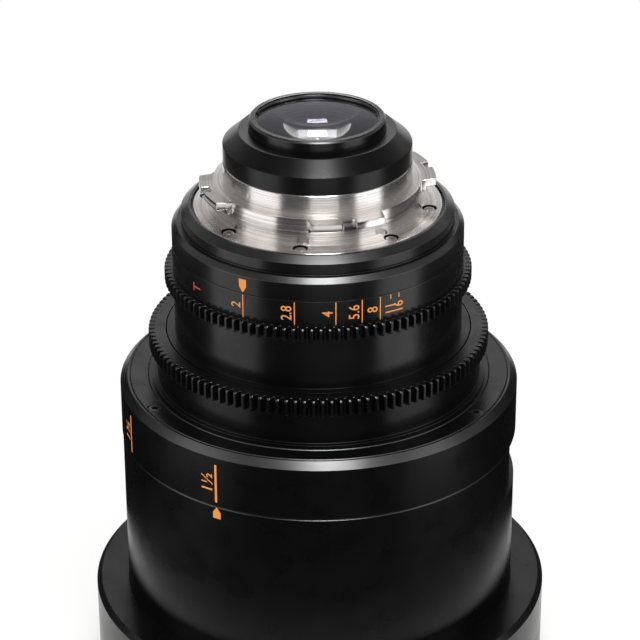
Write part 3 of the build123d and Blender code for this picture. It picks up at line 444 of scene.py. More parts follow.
def pins(radius: float, circle: float, angles: Iterable[float], top: float, bottom: float) -> BMesh:
    """Make upright pins, or cutters, on a circle about the axis.

    Args:
        radius: Radius of each pin.
        circle: Radius of the circle that they stand on.
        angles: Angle of each pin in degrees.
        top: Height of their tops.
        bottom: Height of their bottoms.

    Returns:
        The pins as one shape.
    """
    shape = bmesh.new()
    for angle in angles:
        x, y = circle * cos(radians(angle)), circle * sin(radians(angle))
        add_pin(shape, radius, top - bottom, Matrix.Translation((x, y, (top + bottom) / 2)))
    return shape


def add_block(shape: BMesh, size: Sequence[float], centre: Sequence[float], angle: float) -> BMesh:
    """Add a block to a shape.

    Args:
        shape: The shape.
        size: Size of the block.
        centre: Its middle before the turn.
        angle: Degrees that it is turned about the optical axis.

    Returns:
        The same shape.
    """
    place = Matrix.Rotation(radians(angle), 4, "Z") @ Matrix.Translation(centre) @ Matrix.Diagonal((*size, 1))
    bmesh.ops.create_cube(shape, size=1.0, matrix=place)
    return shape


def add_shape(shape: BMesh, other: BMesh) -> None:
    """Put another shape into a shape, and free the other.

    Args:
        shape: Shape that gets the other.
        other: The other.
    """
    mesh = bpy.data.meshes.new("part")
    other.to_mesh(mesh)
    other.free()
    shape.from_mesh(mesh)
    bpy.data.meshes.remove(mesh)


def placed(name: str, shape: BMesh) -> bpy.types.Object:
    """Make an object of a shape, and free the shape.

    Args:
        name: Name of the object and its mesh.
        shape: The shape, in its place.

    Returns:
        The object, which is in the scene.
    """
    mesh = bpy.data.meshes.new(name)
    shape.to_mesh(mesh)
    shape.free()
    made = bpy.data.objects.new(name, mesh)
    bpy.context.scene.collection.objects.link(made)
    return made


def evaluated(made: bpy.types.Object) -> BMesh:
    """Read an object with its modifiers, or a text, as a shape.

    Args:
        made: The object. It is removed.

    Returns:
        Its shape.
    """
    graph = bpy.context.evaluated_depsgraph_get()
    mesh = bpy.data.meshes.new_from_object(made.evaluated_get(graph))
    shape = bmesh.new()
    shape.from_mesh(mesh)
    bpy.data.objects.remove(made)
    bpy.data.meshes.remove(mesh)
    return shape


def carved(shape: BMesh, cutter: BMesh) -> BMesh:
    """Cut one shape out of another.

    Args:
        shape: Closed shape that is cut.
        cutter: Closed shape that is taken away.

    Returns:
        What is left, with its faces pointing outwards.
    """
    stock, tool = placed("stock", shape), placed("tool", cutter)
    cut = stock.modifiers.new("cut", "BOOLEAN")
    cut.operation, cut.solver, cut.object = "DIFFERENCE", "EXACT", tool
    left = evaluated(stock)
    bpy.data.objects.remove(tool)
    return left


def rounded(shape: BMesh, width: float, segments: int = 2, angle: float = SHARP_ANGLE) -> BMesh:
    """Round the sharp edges of a shape.

    Args:
        shape: Shape with sharp edges.
        width: Width of the rounding in millimetres.
        segments: Facets across the rounding.
        angle: Smallest angle in degrees that counts as sharp.

    Returns:
        The same shape.
    """
    limit = radians(angle)
    sharp = [e for e in shape.edges if len(e.link_faces) == 2 and e.calc_face_angle(0) > limit]
    bmesh.ops.bevel(shape, geom=sharp, offset=width, segments=segments, **BEVEL)
    return shape


def slanted(face: MeshPolygon) -> bool:
    """Tell whether a face slopes as a chamfer does."""
    low, high = CHAMFER_SLOPES
    return low < abs(face.normal.z) < high


def finished(
    shape: BMesh,
    name: str,
    finish: Finish,
    body: Body,
    *replaced: str,
    edge_finish: Optional[Finish] = None,
    on_edge: FaceTest = slanted,
) -> None:
    """Make the finished piece of a shape and fix it to its body.

    Args:
        shape: Shape in millimetres, in its place. It is freed.
        name: Name of the piece.
        finish: Finish that it gets.
        body: Body that it rides on.
        replaced: CAD nodes that it stands for.
        edge_finish: Finish of its chamfers, where it differs.
        on_edge: Tells whether a face, in metres, gets that finish.
    """
    bmesh.ops.scale(shape, vec=(MM, MM, MM), verts=shape.verts)
    piece = placed(name, shape)
    mesh = piece.data
    mesh.polygons.foreach_set("use_smooth", [True] * len(mesh.polygons))
    mesh.set_sharp_from_angle(angle=radians(SMOOTH_ANGLE))
    mesh.materials.append(finish.material())
    if edge_finish:
        mesh.materials.append(edge_finish.material())
        for face in mesh.polygons:
            face.material_index = int(on_edge(face))
    normals = piece.modifiers.new("even shading", "WEIGHTED_NORMAL")
    normals.keep_sharp = True
    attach(piece, body.value)
    if replaced:
        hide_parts(*replaced)
    log.info("%s: %s, %d triangles", name, finish.name, sum(len(p.vertices) - 2 for p in mesh.polygons))


def wrapped(shape: BMesh, radius: float, azimuth: float) -> BMesh:
    """Bend a flat shape onto a cylinder: x goes round, y up and z outwards.

    Args:
        shape: Flat shape, centred where x is 0.
        radius: Radius of the cylinder.
        azimuth: Degrees from the index marks, towards the right as they are read.

    Returns:
        The same shape.
    """
    for vert in shape.verts:
        angle = radians(INDEX_ANGLE + azimuth) + vert.co.x / radius
        reach = radius + vert.co.z
        vert.co = (reach * cos(angle), reach * sin(angle), vert.co.y)
    return shape


@dataclass(frozen=True)
class Lettering:
    """Plain dial lettering, filled with paint, that is read upwards along the axis."""

    size: float
    condense: float
    weight: float = 0.02

    def shape(self, words: str, place: Sequence[float]) -> BMesh:
        """Make raised letters, centred on a place.

        Args:
            words: Plain dial numbers or letters.
            place: Middle of the letters on the flat dial.

        Returns:
            The letters as one shape.
        """
        curve = bpy.data.curves.new("letters", "FONT")
        curve.body, curve.size, curve.extrude, curve.offset = words, self.size, PAINT / 2, self.weight
        curve.align_x, curve.align_y = "CENTER", "CENTER"
        curve.resolution_u = LETTER_STEPS
        writer = bpy.data.objects.new("letters", curve)
        bpy.context.scene.collection.objects.link(writer)
        shape = evaluated(writer)
        bpy.data.curves.remove(curve)
        bmesh.ops.scale(shape, vec=(self.condense, 1, 1), verts=shape.verts)
        bmesh.ops.remove_doubles(shape, verts=shape.verts, dist=MERGE_DISTANCE)
        bmesh.ops.rotate(shape, matrix=READ_UPWARDS, verts=shape.verts)
        bmesh.ops.translate(shape, vec=place, verts=shape.verts)
        return shape


def painted(corners: Sequence[Point]) -> BMesh:
    """Make a flat painted mark.

    Args:
        corners: Its corners.

    Returns:
        The mark, centred in its thickness.
    """
    shape = bmesh.new()
    face = shape.faces.new([shape.verts.new((x, y, -PAINT / 2)) for x, y in corners])
    raised(shape, [face], PAINT)
    bmesh.ops.recalc_face_normals(shape, faces=shape.faces)
    return shape


def bar(width: float, top: float, bottom: float) -> BMesh:
    """Make an upright mark of a width between two heights."""
    half = width / 2
    return painted([(-half, bottom), (half, bottom), (half, top), (-half, top)])


def house(width: float, base: float, height: float, radius: float) -> BMesh:
    """Make a house-shaped pointer on a cylinder at the index angle.

    Args:
        width: Width of its walls.
        base: Height of its flat end.
        height: From the flat end to the tip, negative for one that points down.
        radius: Radius of the cylinder.

    Returns:
        The pointer.
    """
    half, wall = width / 2, base + POINTER_WALL_SHARE * height
    corners = [(-half, base), (half, base), (half, wall), (0, base + height), (-half, wall)]
    if height < 0:
        corners.reverse()
    return wrapped(painted(corners), radius, 0)


@dataclass(frozen=True)
class Gear:
    """Sizes of a lens gear's teeth, in millimetres and shares of their pitch."""

    tip: float
    module: float = 0.8
    depth_share: float = 2.25
    tip_share: float = 0.13
    root_share: float = 0.39
    chamfer: float = 0.45
    lip: float = 0.05
    lip_angle: float = 25.0

    @property
    def count(self) -> int:
        """Whole teeth that reach the tip radius."""
        return round(2 * self.tip / self.module) - 2

    @property
    def root(self) -> float:
        """Radius at the bottom of the gaps."""
        return self.tip - self.depth_share * self.module

    @property
    def pitch(self) -> float:
        """Angle from tooth to tooth in radians."""
        return FULL_TURN / self.count

    def at_tip(self, edge: BMEdge) -> bool:
        """Tell whether an edge lies across a tooth's tip, in one of the ring's faces."""
        level = abs(edge.verts[0].co.z - edge.verts[1].co.z) < MERGE_DISTANCE
        return level and all(v.co.xy.length > self.tip - MERGE_DISTANCE for v in edge.verts)

    def at_joint(self, face: BMFace) -> bool:
        """Tell whether a face is where one tooth's share of the ring meets the next."""
        turns = (Vector((1, 0)).angle_signed(v.co.xy) / self.pitch for v in face.verts)
        return all(abs(abs(turn) - 0.5) < SHARE_TOLERANCE for turn in turns)

    def ring(self, bore: float, top: float, bottom: float) -> BMesh:
        """Make the toothed ring from one tooth that is repeated round the axis.

        Args:
            bore: Radius of the ring's bore.
            top: Height of its upper face.
            bottom: Height of its lower face.

        Returns:
            The closed ring, with its tooth tips broken at both faces.
        """
        root = (self.root_share, self.root)
        gap = (0.5, self.root * cos(0.5 * self.pitch * (1 - 2 * self.root_share)))
        half = [(self.tip_share, self.tip), root, gap, (0.5, bore)]
        outline = [(-share, radius) for share, radius in reversed(half)] + half
        shape = bmesh.new()
        corners = []
        for share, radius in outline:
            angle = share * self.pitch
            corners.append(shape.verts.new((radius * cos(angle), radius * sin(angle), bottom)))
        raised(shape, [shape.faces.new(corners)], top - bottom)
        tips = [e for e in shape.edges if self.at_tip(e)]
        bmesh.ops.bevel(shape, geom=tips, offset=self.chamfer, segments=1, **BEVEL)
        joints = [f for f in shape.faces if self.at_joint(f)]
        bmesh.ops.delete(shape, geom=joints, context="FACES_ONLY")
        whole = closed(repeated(shape, self.pitch, self.count - 1))
        return rounded(whole, self.lip, 1, self.lip_angle)


@dataclass
class SubAssembly:
    """A sub-assembly of the lens, in millimetres, with the CAD node that sets its extent."""

    node: str = ""
    edge: float = 0.16

    @property
    def size(self) -> Extent:
        """Extent of its main node."""
        return extent(self.node)


@dataclass
class CameraMount(SubAssembly):
    """Steel mount with its barrel, neck, four notched wings, plate and screws."""

    node: str = "lens_mount"
    bore: float = 24.0
    barrel: float = 27.0
    barrel_chamfer: float = 0.3
    neck: float = 29.8
    groove_drop: float = 3.6
    groove_width: float = 0.25
    groove_depth: float = 0.2
    plate_height: float = 2.6
    plate_chamfer: float = 0.7
    wing_count: int = 4
    wing_radii: tuple[float, float, float, float] = (29.0, 31.0, 31.55, 33.75)
    wing_root_span: float = 22.0
    wing_tip_span: float = 18.0
    wing_thickness: float = 2.1
    wing_drop: float = 0.015
    heel_thickness: float = 3.5
    wing_columns: int = 24
    notch_share: float = 1 / 6
    screw_circle: float = 32.1
    screw_offset: float = 21.0
    screw_radius: float = 1.75
    screw_gap: float = 0.4
    screw_inset: float = 0.25
    screw_head: float = 1.2
    screw_edge: float = 0.5
    recess_width: float = 0.45
    recess_length: float = 1.9
    recess_depth: float = 0.5
    wing_edge_angle: float = 35.0
    edge: float = 0.2

    @property
    def plate_top(self) -> float:
        """Height of the plate's upper face."""
        return self.size.bottom + self.plate_height

    def screw_angles(self) -> list[float]:
        """Angles of the plate's screws."""
        step, sides = 360 / self.wing_count, (-self.screw_offset, self.screw_offset)
        return [step * n + side for n in range(self.wing_count) for side in sides]

    def body_shape(self) -> BMesh:
        """Turn the barrel, neck and plate, with the screws' counterbores.

        Returns:
            The shape.
        """
        size, plate_top = self.size, self.plate_top
        groove_top = -self.groove_drop
        groove_bottom = groove_top - self.groove_width
        groove = self.neck - self.groove_depth
        shape = turned([
            (self.bore, size.top), (self.barrel - self.barrel_chamfer, size.top),
            (self.barrel, size.top - self.barrel_chamfer), (self.barrel, 0), (self.neck, 0),
            (self.neck, groove_top), (groove, groove_top), (groove, groove_bottom),
            (self.neck, groove_bottom), (self.neck, plate_top),
            (size.radius - self.plate_chamfer, plate_top), (size.radius, plate_top - self.plate_chamfer),
            (size.radius, size.bottom), (self.bore, size.bottom),
        ])
        rounded(shape, self.edge / 3)
        radius, top = self.screw_radius + self.screw_gap, plate_top + CUT_OVER
        angles, floor = self.screw_angles(), plate_top - self.screw_head
        return carved(shape, pins(radius, self.screw_circle, angles, top, floor))

    def wing_shape(self) -> BMesh:
        """Make the four wings from one grid that is bent, thickened and repeated.

        Returns:
            The wings as one shape.
        """
        shape = bmesh.new()
        rows = len(self.wing_radii) - 1
        bmesh.ops.create_grid(shape, x_segments=self.wing_columns, y_segments=rows, size=1.0)
        middles = {face: face.calc_center_median() for face in shape.faces}
        notch = [f for f, m in middles.items() if abs(m.x) < self.notch_share and m.y > 1 - 2 / rows]
        bmesh.ops.delete(shape, geom=notch, context="FACES")
        first, last = self.wing_radii[0], self.wing_radii[-1]
        for vert in shape.verts:
            radius = self.wing_radii[round((vert.co.y + 1) / 2 * rows)]
            share = (radius - first) / (last - first)
            span = self.wing_root_span + (self.wing_tip_span - self.wing_root_span) * share
            angle = radians(-vert.co.x * span)
            vert.co = (radius * cos(angle), radius * sin(angle), 0)
        raised(shape, shape.faces[:], -self.wing_thickness)
        limit = self.wing_radii[1] + MERGE_DISTANCE
        level = -self.wing_thickness + MERGE_DISTANCE
        heel = [f for f in shape.faces if all(v.co.xy.length < limit and v.co.z < level for v in f.verts)]
        raised(shape, heel, self.wing_thickness - self.heel_thickness)
        bmesh.ops.delete(shape, geom=heel, context="FACES_ONLY")
        bmesh.ops.recalc_face_normals(shape, faces=shape.faces)
        rounded(shape, self.edge, angle=self.wing_edge_angle)
        bmesh.ops.translate(shape, vec=(0, 0, -self.wing_drop), verts=shape.verts)
        step = FULL_TURN / self.wing_count
        bmesh.ops.rotate(shape, matrix=Matrix.Rotation(step / 2, 3, "Z"), verts=shape.verts)
        return repeated(shape, step, self.wing_count - 1)

    def screw_shape(self) -> BMesh:
        """Make the eight screw heads, each with a cross recess.

        Returns:
            The heads as one shape.
        """
        angles, top = self.screw_angles(), self.plate_top - self.screw_inset
        bottom = self.plate_top - self.screw_head
        heads = rounded(pins(self.screw_radius, self.screw_circle, angles, top, bottom), self.screw_edge, 4)
        along = (self.recess_length, self.recess_width)
        for sides in (along, along[::-1]):
            cutters = bmesh.new()
            for angle in angles:
                add_block(cutters, (*sides, 2 * self.recess_depth), (self.screw_circle, 0, top), angle)
            heads = carved(heads, cutters)
        return heads

    def in_counterbore(self, face: MeshPolygon) -> bool:
        """Tell whether a face is the wall or floor of a screw's counterbore, where shade is painted.

        Args:
            face: Face of the mount, in metres.

        Returns:
            True where it is.
        """
        middle = face.center / MM
        if not self.size.bottom + MERGE_DISTANCE < middle.z < self.plate_top - self.edge:
            return False
        reach = self.screw_radius + self.screw_gap + self.edge
        turns = (Matrix.Rotation(radians(angle), 2) for angle in self.screw_angles())
        return any((middle.xy - turn @ Vector((self.screw_circle, 0))).length < reach for turn in turns)

    def build(self) -> None:
        """Make the pieces of the mount."""
        # The counterbores' walls and floors get the dark steel: painted shade in the gaps round the screw
        # heads
        counterbore_shade = {"edge_finish": COUNTERBORE_SHADE_STEEL, "on_edge": self.in_counterbore}
        finished(self.body_shape(), "mount_body", TURNED_STEEL, Body.HOUSING, self.node, **counterbore_shade)
        finished(self.wing_shape(), "mount_wings", MILLED_STEEL, Body.HOUSING)
        finished(self.screw_shape(), "mount_screw_heads", MILLED_STEEL, Body.HOUSING, "mount_screws")


@dataclass
class RearOptics(SubAssembly):
    """Baffle cone, rear cell, its ring and the rear glass."""

    node: str = "rear_element"
    rim_chamfer: float = 0.6
    cell: float = 19.4
    cell_bore: float = 17.55
    flange: float = 23.9
    tube: float = 20.45
    flange_height: float = 2.0
    web_top: float = -10.6
    window: float = 16.6
    inner_seat: float = -10.3
    ring_bore: float = 16.95
    ring_lip: float = 0.3
    ring_edge: float = 0.05
    glass: float = 17.35
    glass_rise: float = 0.5
    glass_drop: float = 3.2
    baffle_steps: tuple[Point, ...] = ((14.2, 12.1), (11.8, 9.9), (9.2, 7.4))
    baffle_edge: float = 0.12
    slot_width: float = 1.4
    slot_depth: float = 0.7
    slot_angle: float = 20.0
    shroud_gap: float = 0.05
    shroud_top: float = 22.4
    shroud_cone: float = 3.8
    shroud_wall: float = 3.0
    spigot: float = 23.95
    spigot_length: float = 4.8
    barrel_top: float = 5.8
    dome_steps: int = 12
    glass_steps: int = 192

    def shroud_shape(self) -> BMesh:
        """Turn the baffle cone that stands behind the mount's barrel.

        Returns:
            The cone.
        """
        size = extent("rear_shroud")
        bore = self.cell + self.shroud_gap
        inner = bore + self.shroud_wall
        skirt_top, spigot_bottom = size.top - self.shroud_cone, self.barrel_top - self.spigot_length
        return turned([
            (bore, size.top), (self.shroud_top, size.top), (size.radius, skirt_top),
            (size.radius, self.barrel_top), (self.spigot, self.barrel_top), (self.spigot, spigot_bottom),
            (inner, spigot_bottom), (inner, skirt_top - self.shroud_wall),
            (bore, size.top - self.shroud_wall),
        ])

    def cell_shape(self) -> BMesh:
        """Turn the cell that holds the rear glasses.

        Returns:
            The cell.
        """
        size, flange_top = extent("rear_cell"), self.web_top + self.flange_height
        return turned([
            (self.cell_bore, size.top), (self.cell - self.rim_chamfer, size.top),
            (self.cell, size.top - self.rim_chamfer), (self.cell, flange_top), (self.flange, flange_top),
            (self.flange, self.web_top), (self.tube, self.web_top), (self.tube, size.bottom),
            (self.window, size.bottom), (self.window, self.inner_seat), (self.cell_bore, self.inner_seat),
        ])

    def ring_shape(self) -> BMesh:
        """Turn the retaining ring, with its slope towards the glass and two spanner slots.

        Returns:
            The ring.
        """
        size = extent("rear_retaining_ring")
        glass_edge = self.size.top - self.glass_rise
        shape = turned([
            (self.ring_bore + self.ring_lip, size.top), (size.radius, size.top), (size.radius, glass_edge),
            (self.ring_bore, glass_edge), (self.ring_bore, glass_edge + self.ring_lip),
        ])
        rounded(shape, self.ring_edge)
        slot = (2 * (size.radius + CUT_OVER), self.slot_width, 2 * self.slot_depth)
        return carved(shape, add_block(bmesh.new(), slot, (0, 0, size.top), self.slot_angle))

    def glass_shape(self) -> BMesh:
        """Turn the rear glass, a deep lens whose upper face bulges a little.

        Returns:
            The glass.
        """
        size = self.size
        shares = [step / self.dome_steps for step in range(self.dome_steps + 1)]
        upper = [(self.glass * s, size.top - self.glass_rise * s**2) for s in shares]
        lower = [(self.window * s, size.bottom + self.glass_drop * s**2) for s in reversed(shares)]
        return turned([*upper, (self.glass, size.bottom + self.glass_drop), *lower], self.glass_steps)

    def baffle_shape(self) -> BMesh:
        """Turn the stepped baffle between the rear glasses.

        Returns:
            The baffle.
        """
        size, radius = extent("rear_spacer"), self.window
        outline = [(size.radius, size.bottom), (size.radius, size.top), (radius, size.top)]
        for inner, height in self.baffle_steps:
            outline += [(radius, height), (inner, height)]
            radius = inner
        outline.append((radius, size.bottom))
        return rounded(turned(outline), self.baffle_edge)

    def build(self) -> None:
        """Make the pieces of the rear end."""
        cone = rounded(self.shroud_shape(), self.edge)
        finished(cone, "baffle_cone", BLASTED_BLACK, Body.HOUSING, "rear_shroud")
        for shape, name, replaced in (
            (rounded(self.cell_shape(), self.edge), "rear_rim", "rear_cell"),
            (self.ring_shape(), "rear_glass_ring", "rear_retaining_ring"),
            (self.baffle_shape(), "rear_baffle", "rear_spacer"),
        ):
            finished(shape, name, SATIN_BLACK, Body.HOUSING, replaced, edge_finish=CUT_EDGE)
        finished(self.glass_shape(), "rear_glass", COATED_GLASS, Body.HOUSING, self.node)


@dataclass
class RearHousing(SubAssembly):
    """Fixed collar that carries the mount, with the iris pointer."""

    node: str = "rear_housing"
    recess: float = 36.3
    lip: float = 37.0
    lip_slope: float = 1.8
    wall: float = 39.3
    wall_height: float = 3.3
    ledge: float = 40.5
    chamfer: float = 1.5
    recess_depth: float = 3.2
    web: float = 4.4
    bore: float = 20.5
    socket: float = 39.02
    pointer_width: float = 2.3
    pointer_height: float = 4.0
    pointer_drop: float = 0.75

    def build(self) -> None:
        """Make the collar and its pointer."""
        size = self.size
        lip_bottom, web_top = size.top - self.lip_slope, size.top - self.recess_depth
        ledge_height, web_bottom = lip_bottom - self.wall_height, web_top - self.web
        chamfer_bottom = ledge_height - self.chamfer
        shape = turned([
            (self.recess, size.top), (self.lip, size.top), (self.wall, lip_bottom),
            (self.wall, ledge_height), (self.ledge, ledge_height), (size.radius, chamfer_bottom),
            (size.radius, size.bottom), (self.socket, size.bottom), (self.socket, web_bottom),
            (self.bore, web_bottom), (self.bore, web_top), (self.recess, web_top),
        ])
        collar = rounded(shape, self.edge)
        finished(collar, "rear_collar", SATIN_BLACK, Body.HOUSING, self.node, edge_finish=CUT_EDGE)
        top = chamfer_bottom - self.pointer_drop
        pointer = house(self.pointer_width, top, -self.pointer_height, size.radius)
        finished(pointer, "iris_pointer", ORANGE_ENAMEL, Body.HOUSING)


@dataclass
class IrisRings(SubAssembly):
    """Turning ring with the iris scale and its gear."""

    node: str = "iris_scale_ring"
    bore: float = 39.05
    line_width: float = 0.3
    line_margin: float = 0.3
    numbers: Lettering = Lettering(4.3, 0.86)
    type_gap: float = 2.15
    marks: tuple[tuple[str, float], ...] = (
        ("2", 0.0),
        ("2.8", 20.7),
        ("4", 36.3),
        ("5.6", 46.4),
        ("8", 53.7),
        ("11", 58.1),
        ("16", 61.7),
    )
    lined: int = 5
    tick_length: float = 1.3
    tick_drop: float = 0.78
    letter: Lettering = Lettering(5.0, 0.86)
    letter_azimuth: float = -24.0

    @property
    def middle(self) -> float:
        """Height of the middle of the scale."""
        return (self.size.top + self.size.bottom) / 2

    def marks_shape(self) -> BMesh:
        """Make the numbers and lines of the iris scale.

        Returns:
            The painted marks as one shape.
        """
        marks = bmesh.new()
        high, low = self.size.top - self.line_margin, self.size.bottom + self.line_margin
        for number, (words, azimuth) in enumerate(self.marks):
            place, bottom = (-self.type_gap, self.middle, 0), low
            if number >= self.lined:
                place, bottom = (0, self.middle - self.tick_drop, 0), high - self.tick_length
            for part in (self.numbers.shape(words, place), bar(self.line_width, high, bottom)):
                add_shape(marks, wrapped(part, self.size.radius, azimuth))
        return marks

    def build(self) -> None:
        """Make the rings and their marks."""
        size, gear = self.size, extent("iris_gear_ring")
        scale = turned([
            (self.bore, size.top), (size.radius, size.top),
            (size.radius, size.bottom), (self.bore, size.bottom),
        ])
        rounded(scale, self.edge)
        finished(scale, "iris_scale", SATIN_BLACK, Body.IRIS, self.node, edge_finish=CUT_EDGE)
        finished(self.marks_shape(), "iris_marks", ORANGE_ENAMEL, Body.IRIS)
        letter = self.letter.shape("T", (0, self.middle, 0))
        wrapped(letter, size.radius, self.letter_azimuth)
        finished(letter, "iris_letter", RED_ENAMEL, Body.IRIS)
        teeth = Gear(gear.radius).ring(self.bore, gear.top, gear.bottom)
        finished(teeth, "iris_gear_teeth", SATIN_BLACK, Body.IRIS, "iris_gear_ring", edge_finish=CUT_EDGE)


@dataclass
class MainBarrel(SubAssembly):
    """Fixed barrel between the two gears."""

    node: str = "main_barrel"
    core_bore: float = 32.05
    core: float = 39.0
    shoulder: float = -30.7
    barrel: float = 41.8
    flange_height: float = 3.0
    socket: float = 39.72
    socket_depth: float = 4.2
    bore: float = 37.0
    cam_bore: float = 29.05
    cam_top: float = -24.95
    cam_height: float = 3.0

    def build(self) -> None:
        """Make the barrel."""
        size = self.size
        flange_top, socket_top = size.bottom + self.flange_height, size.bottom + self.socket_depth
        cam_bottom = self.cam_top - self.cam_height
        shape = turned([
            (self.core_bore, size.top), (self.core, size.top), (self.core, self.shoulder),
            (self.barrel, self.shoulder), (self.barrel, flange_top), (size.radius, flange_top),
            (size.radius, size.bottom), (self.socket, size.bottom), (self.socket, socket_top),
            (self.bore, socket_top), (self.bore, cam_bottom), (self.cam_bore, cam_bottom),
            (self.cam_bore, self.cam_top), (self.core_bore, self.cam_top),
        ])
        finished(rounded(shape, self.edge), "barrel_sleeve", SATIN_BLACK, Body.HOUSING, self.node)


@dataclass
class FocusRing(SubAssembly):
    """Geared neck and wide drum with the distance scale."""

    node: str = "focus_drum"
    gear_height: float = 4.9
    gear_bore: float = 44.6
    rim: float = 47.0
    neck: float = 47.4
    foot_height: float = 0.6
    foot_gap: float = 1.6
    sleeve_top: float = -52.6
    socket: float = 44.02
    chamfer: float = 2.0
    web: float = 3.5
    wall: float = 3.6
    groove_radii: tuple[float, float] = (50.5, 55.9)
    groove_width: float = 0.3
    groove_depth: float = 0.4
    groove_lip: float = 0.25
    screw_circle: float = 53.0
    screw_azimuth: float = 87.5
    screw_count: int = 3
    screw_radius: float = 2.0
    screw_gap: float = 0.12
    screw_inset: float = 0.05
    screw_head: float = 1.6
    hex_radius: float = 1.1
    hex_depth: float = 0.9
    mouth_angle: float = 60.0
    edge: float = 0.2
    near_distance: float = 1.5
    scale_offset: float = 0.2
    scale_turn: float = 239.3
    distances: tuple[tuple[str, float], ...] = (
        ("1½", 1.5),
        ("1¾", 1.75),
        ("2", 2.0),
        ("2½", 2.5),
        ("3", 3.0),
        ("4", 4.0),
        ("5", 5.0),
        ("7", 7.0),
        ("10", 10.0),
        ("20", 20.0),
        ("∞", inf),
    )
    line_width: float = 0.7
    line_top: float = 4.2
    line_bottom: float = 1.2
    numbers: Lettering = Lettering(5.2, 0.97)
    type_gap: float = 2.75
    type_drop: float = 8.3

    def screw_angles(self) -> list[float]:
        """Angles of the drum's screws."""
        step = 360 / self.screw_count
        return [INDEX_ANGLE + self.screw_azimuth + step * n for n in range(self.screw_count)]

    def neck_shape(self) -> BMesh:
        """Turn the neck under the gear, with its foot on the drum.

        Returns:
            The neck.
        """
        size = extent("focus_gear_ring")
        foot, foot_top = self.groove_radii[0] - self.foot_gap, size.bottom + self.foot_height
        gear_bottom = size.top - self.gear_height
        shape = turned([
            (self.gear_bore, size.top), (self.rim, size.top), (self.rim, gear_bottom),
            (self.neck, gear_bottom), (self.neck, foot_top), (foot, foot_top), (foot, size.bottom),
            (self.socket, size.bottom), (self.socket, self.sleeve_top), (self.gear_bore, self.sleeve_top),
        ])
        return rounded(shape, self.edge / 2)

    def drum_shape(self) -> BMesh:
        """Turn the drum, with its grooves and the screws' counterbores.

        Returns:
            The drum.
        """
        size, lip = self.size, self.groove_lip
        floor, web_bottom = size.top - self.groove_depth, size.top - self.web
        inner_wall = size.radius - self.wall
        outline = [(self.socket, size.top)]
        for radius in self.groove_radii:
            inner = radius - self.groove_width
            outline += [(inner - lip, size.top), (inner, size.top - lip)]
            outline += [(inner, floor), (radius, floor), (radius, size.top)]
        outline += [
            (size.radius - self.chamfer, size.top), (size.radius, size.top - self.chamfer),
            (size.radius, size.bottom), (inner_wall, size.bottom), (inner_wall, web_bottom),
            (self.socket, web_bottom),
        ]
        shape = rounded(turned(outline), self.edge / 2)
        radius, angles = self.screw_radius + self.screw_gap, self.screw_angles()
        top, bottom = size.top + CUT_OVER, size.top - self.screw_head
        cutters = pins(radius, self.screw_circle, angles, top, bottom)
        return rounded(carved(shape, cutters), self.edge / 2, 1, self.mouth_angle)

    def screw_shape(self) -> BMesh:
        """Make the cap screws' heads, each with a hexagon socket.

        Returns:
            The heads as one shape.
        """
        angles, top = self.screw_angles(), self.size.top
        bottom = top - self.screw_head
        heads = pins(self.screw_radius, self.screw_circle, angles, top - self.screw_inset, bottom)
        rounded(heads, self.edge)
        sockets = bmesh.new()
        for angle in angles:
            place = Matrix.Rotation(radians(angle), 4, "Z") @ Matrix.Translation((self.screw_circle, 0, top))
            add_pin(sockets, self.hex_radius, 2 * self.hex_depth, place, HEXAGON_STEPS)
        return carved(heads, sockets)

    def marks_shape(self) -> BMesh:
        """Make the distance scale.

        Returns:
            The painted marks as one shape.
        """
        marks, size = bmesh.new(), self.size
        top, bottom = size.top - self.line_top, size.bottom + self.line_bottom
        place = (-self.type_gap, size.top - self.type_drop - self.chamfer, 0)
        for words, distance in self.distances:
            reach = (self.near_distance - self.scale_offset) / (distance - self.scale_offset)
            azimuth = -self.scale_turn * (1 - reach)
            for part in (self.numbers.shape(words, place), bar(self.line_width, top, bottom)):
                add_shape(marks, wrapped(part, size.radius, azimuth))
        return marks

    def build(self) -> None:
        """Make the gear, the neck, the drum, its screws and its scale."""
        gear, bright = extent("focus_gear_ring"), {"edge_finish": CUT_EDGE}
        teeth = Gear(gear.radius).ring(self.rim, gear.top, gear.top - self.gear_height)
        finished(teeth, "focus_gear_teeth", SATIN_BLACK, Body.FOCUS, **bright)
        finished(self.neck_shape(), "focus_neck", SATIN_BLACK, Body.FOCUS, "focus_gear_ring", **bright)
        finished(self.drum_shape(), "focus_wide_drum", BLASTED_BLACK, Body.FOCUS, self.node, **bright)
        finished(self.screw_shape(), "drum_screw_heads", BLACK_OXIDE, Body.FOCUS, "drum_screws")
        finished(self.marks_shape(), "distance_marks", ORANGE_ENAMEL, Body.FOCUS)


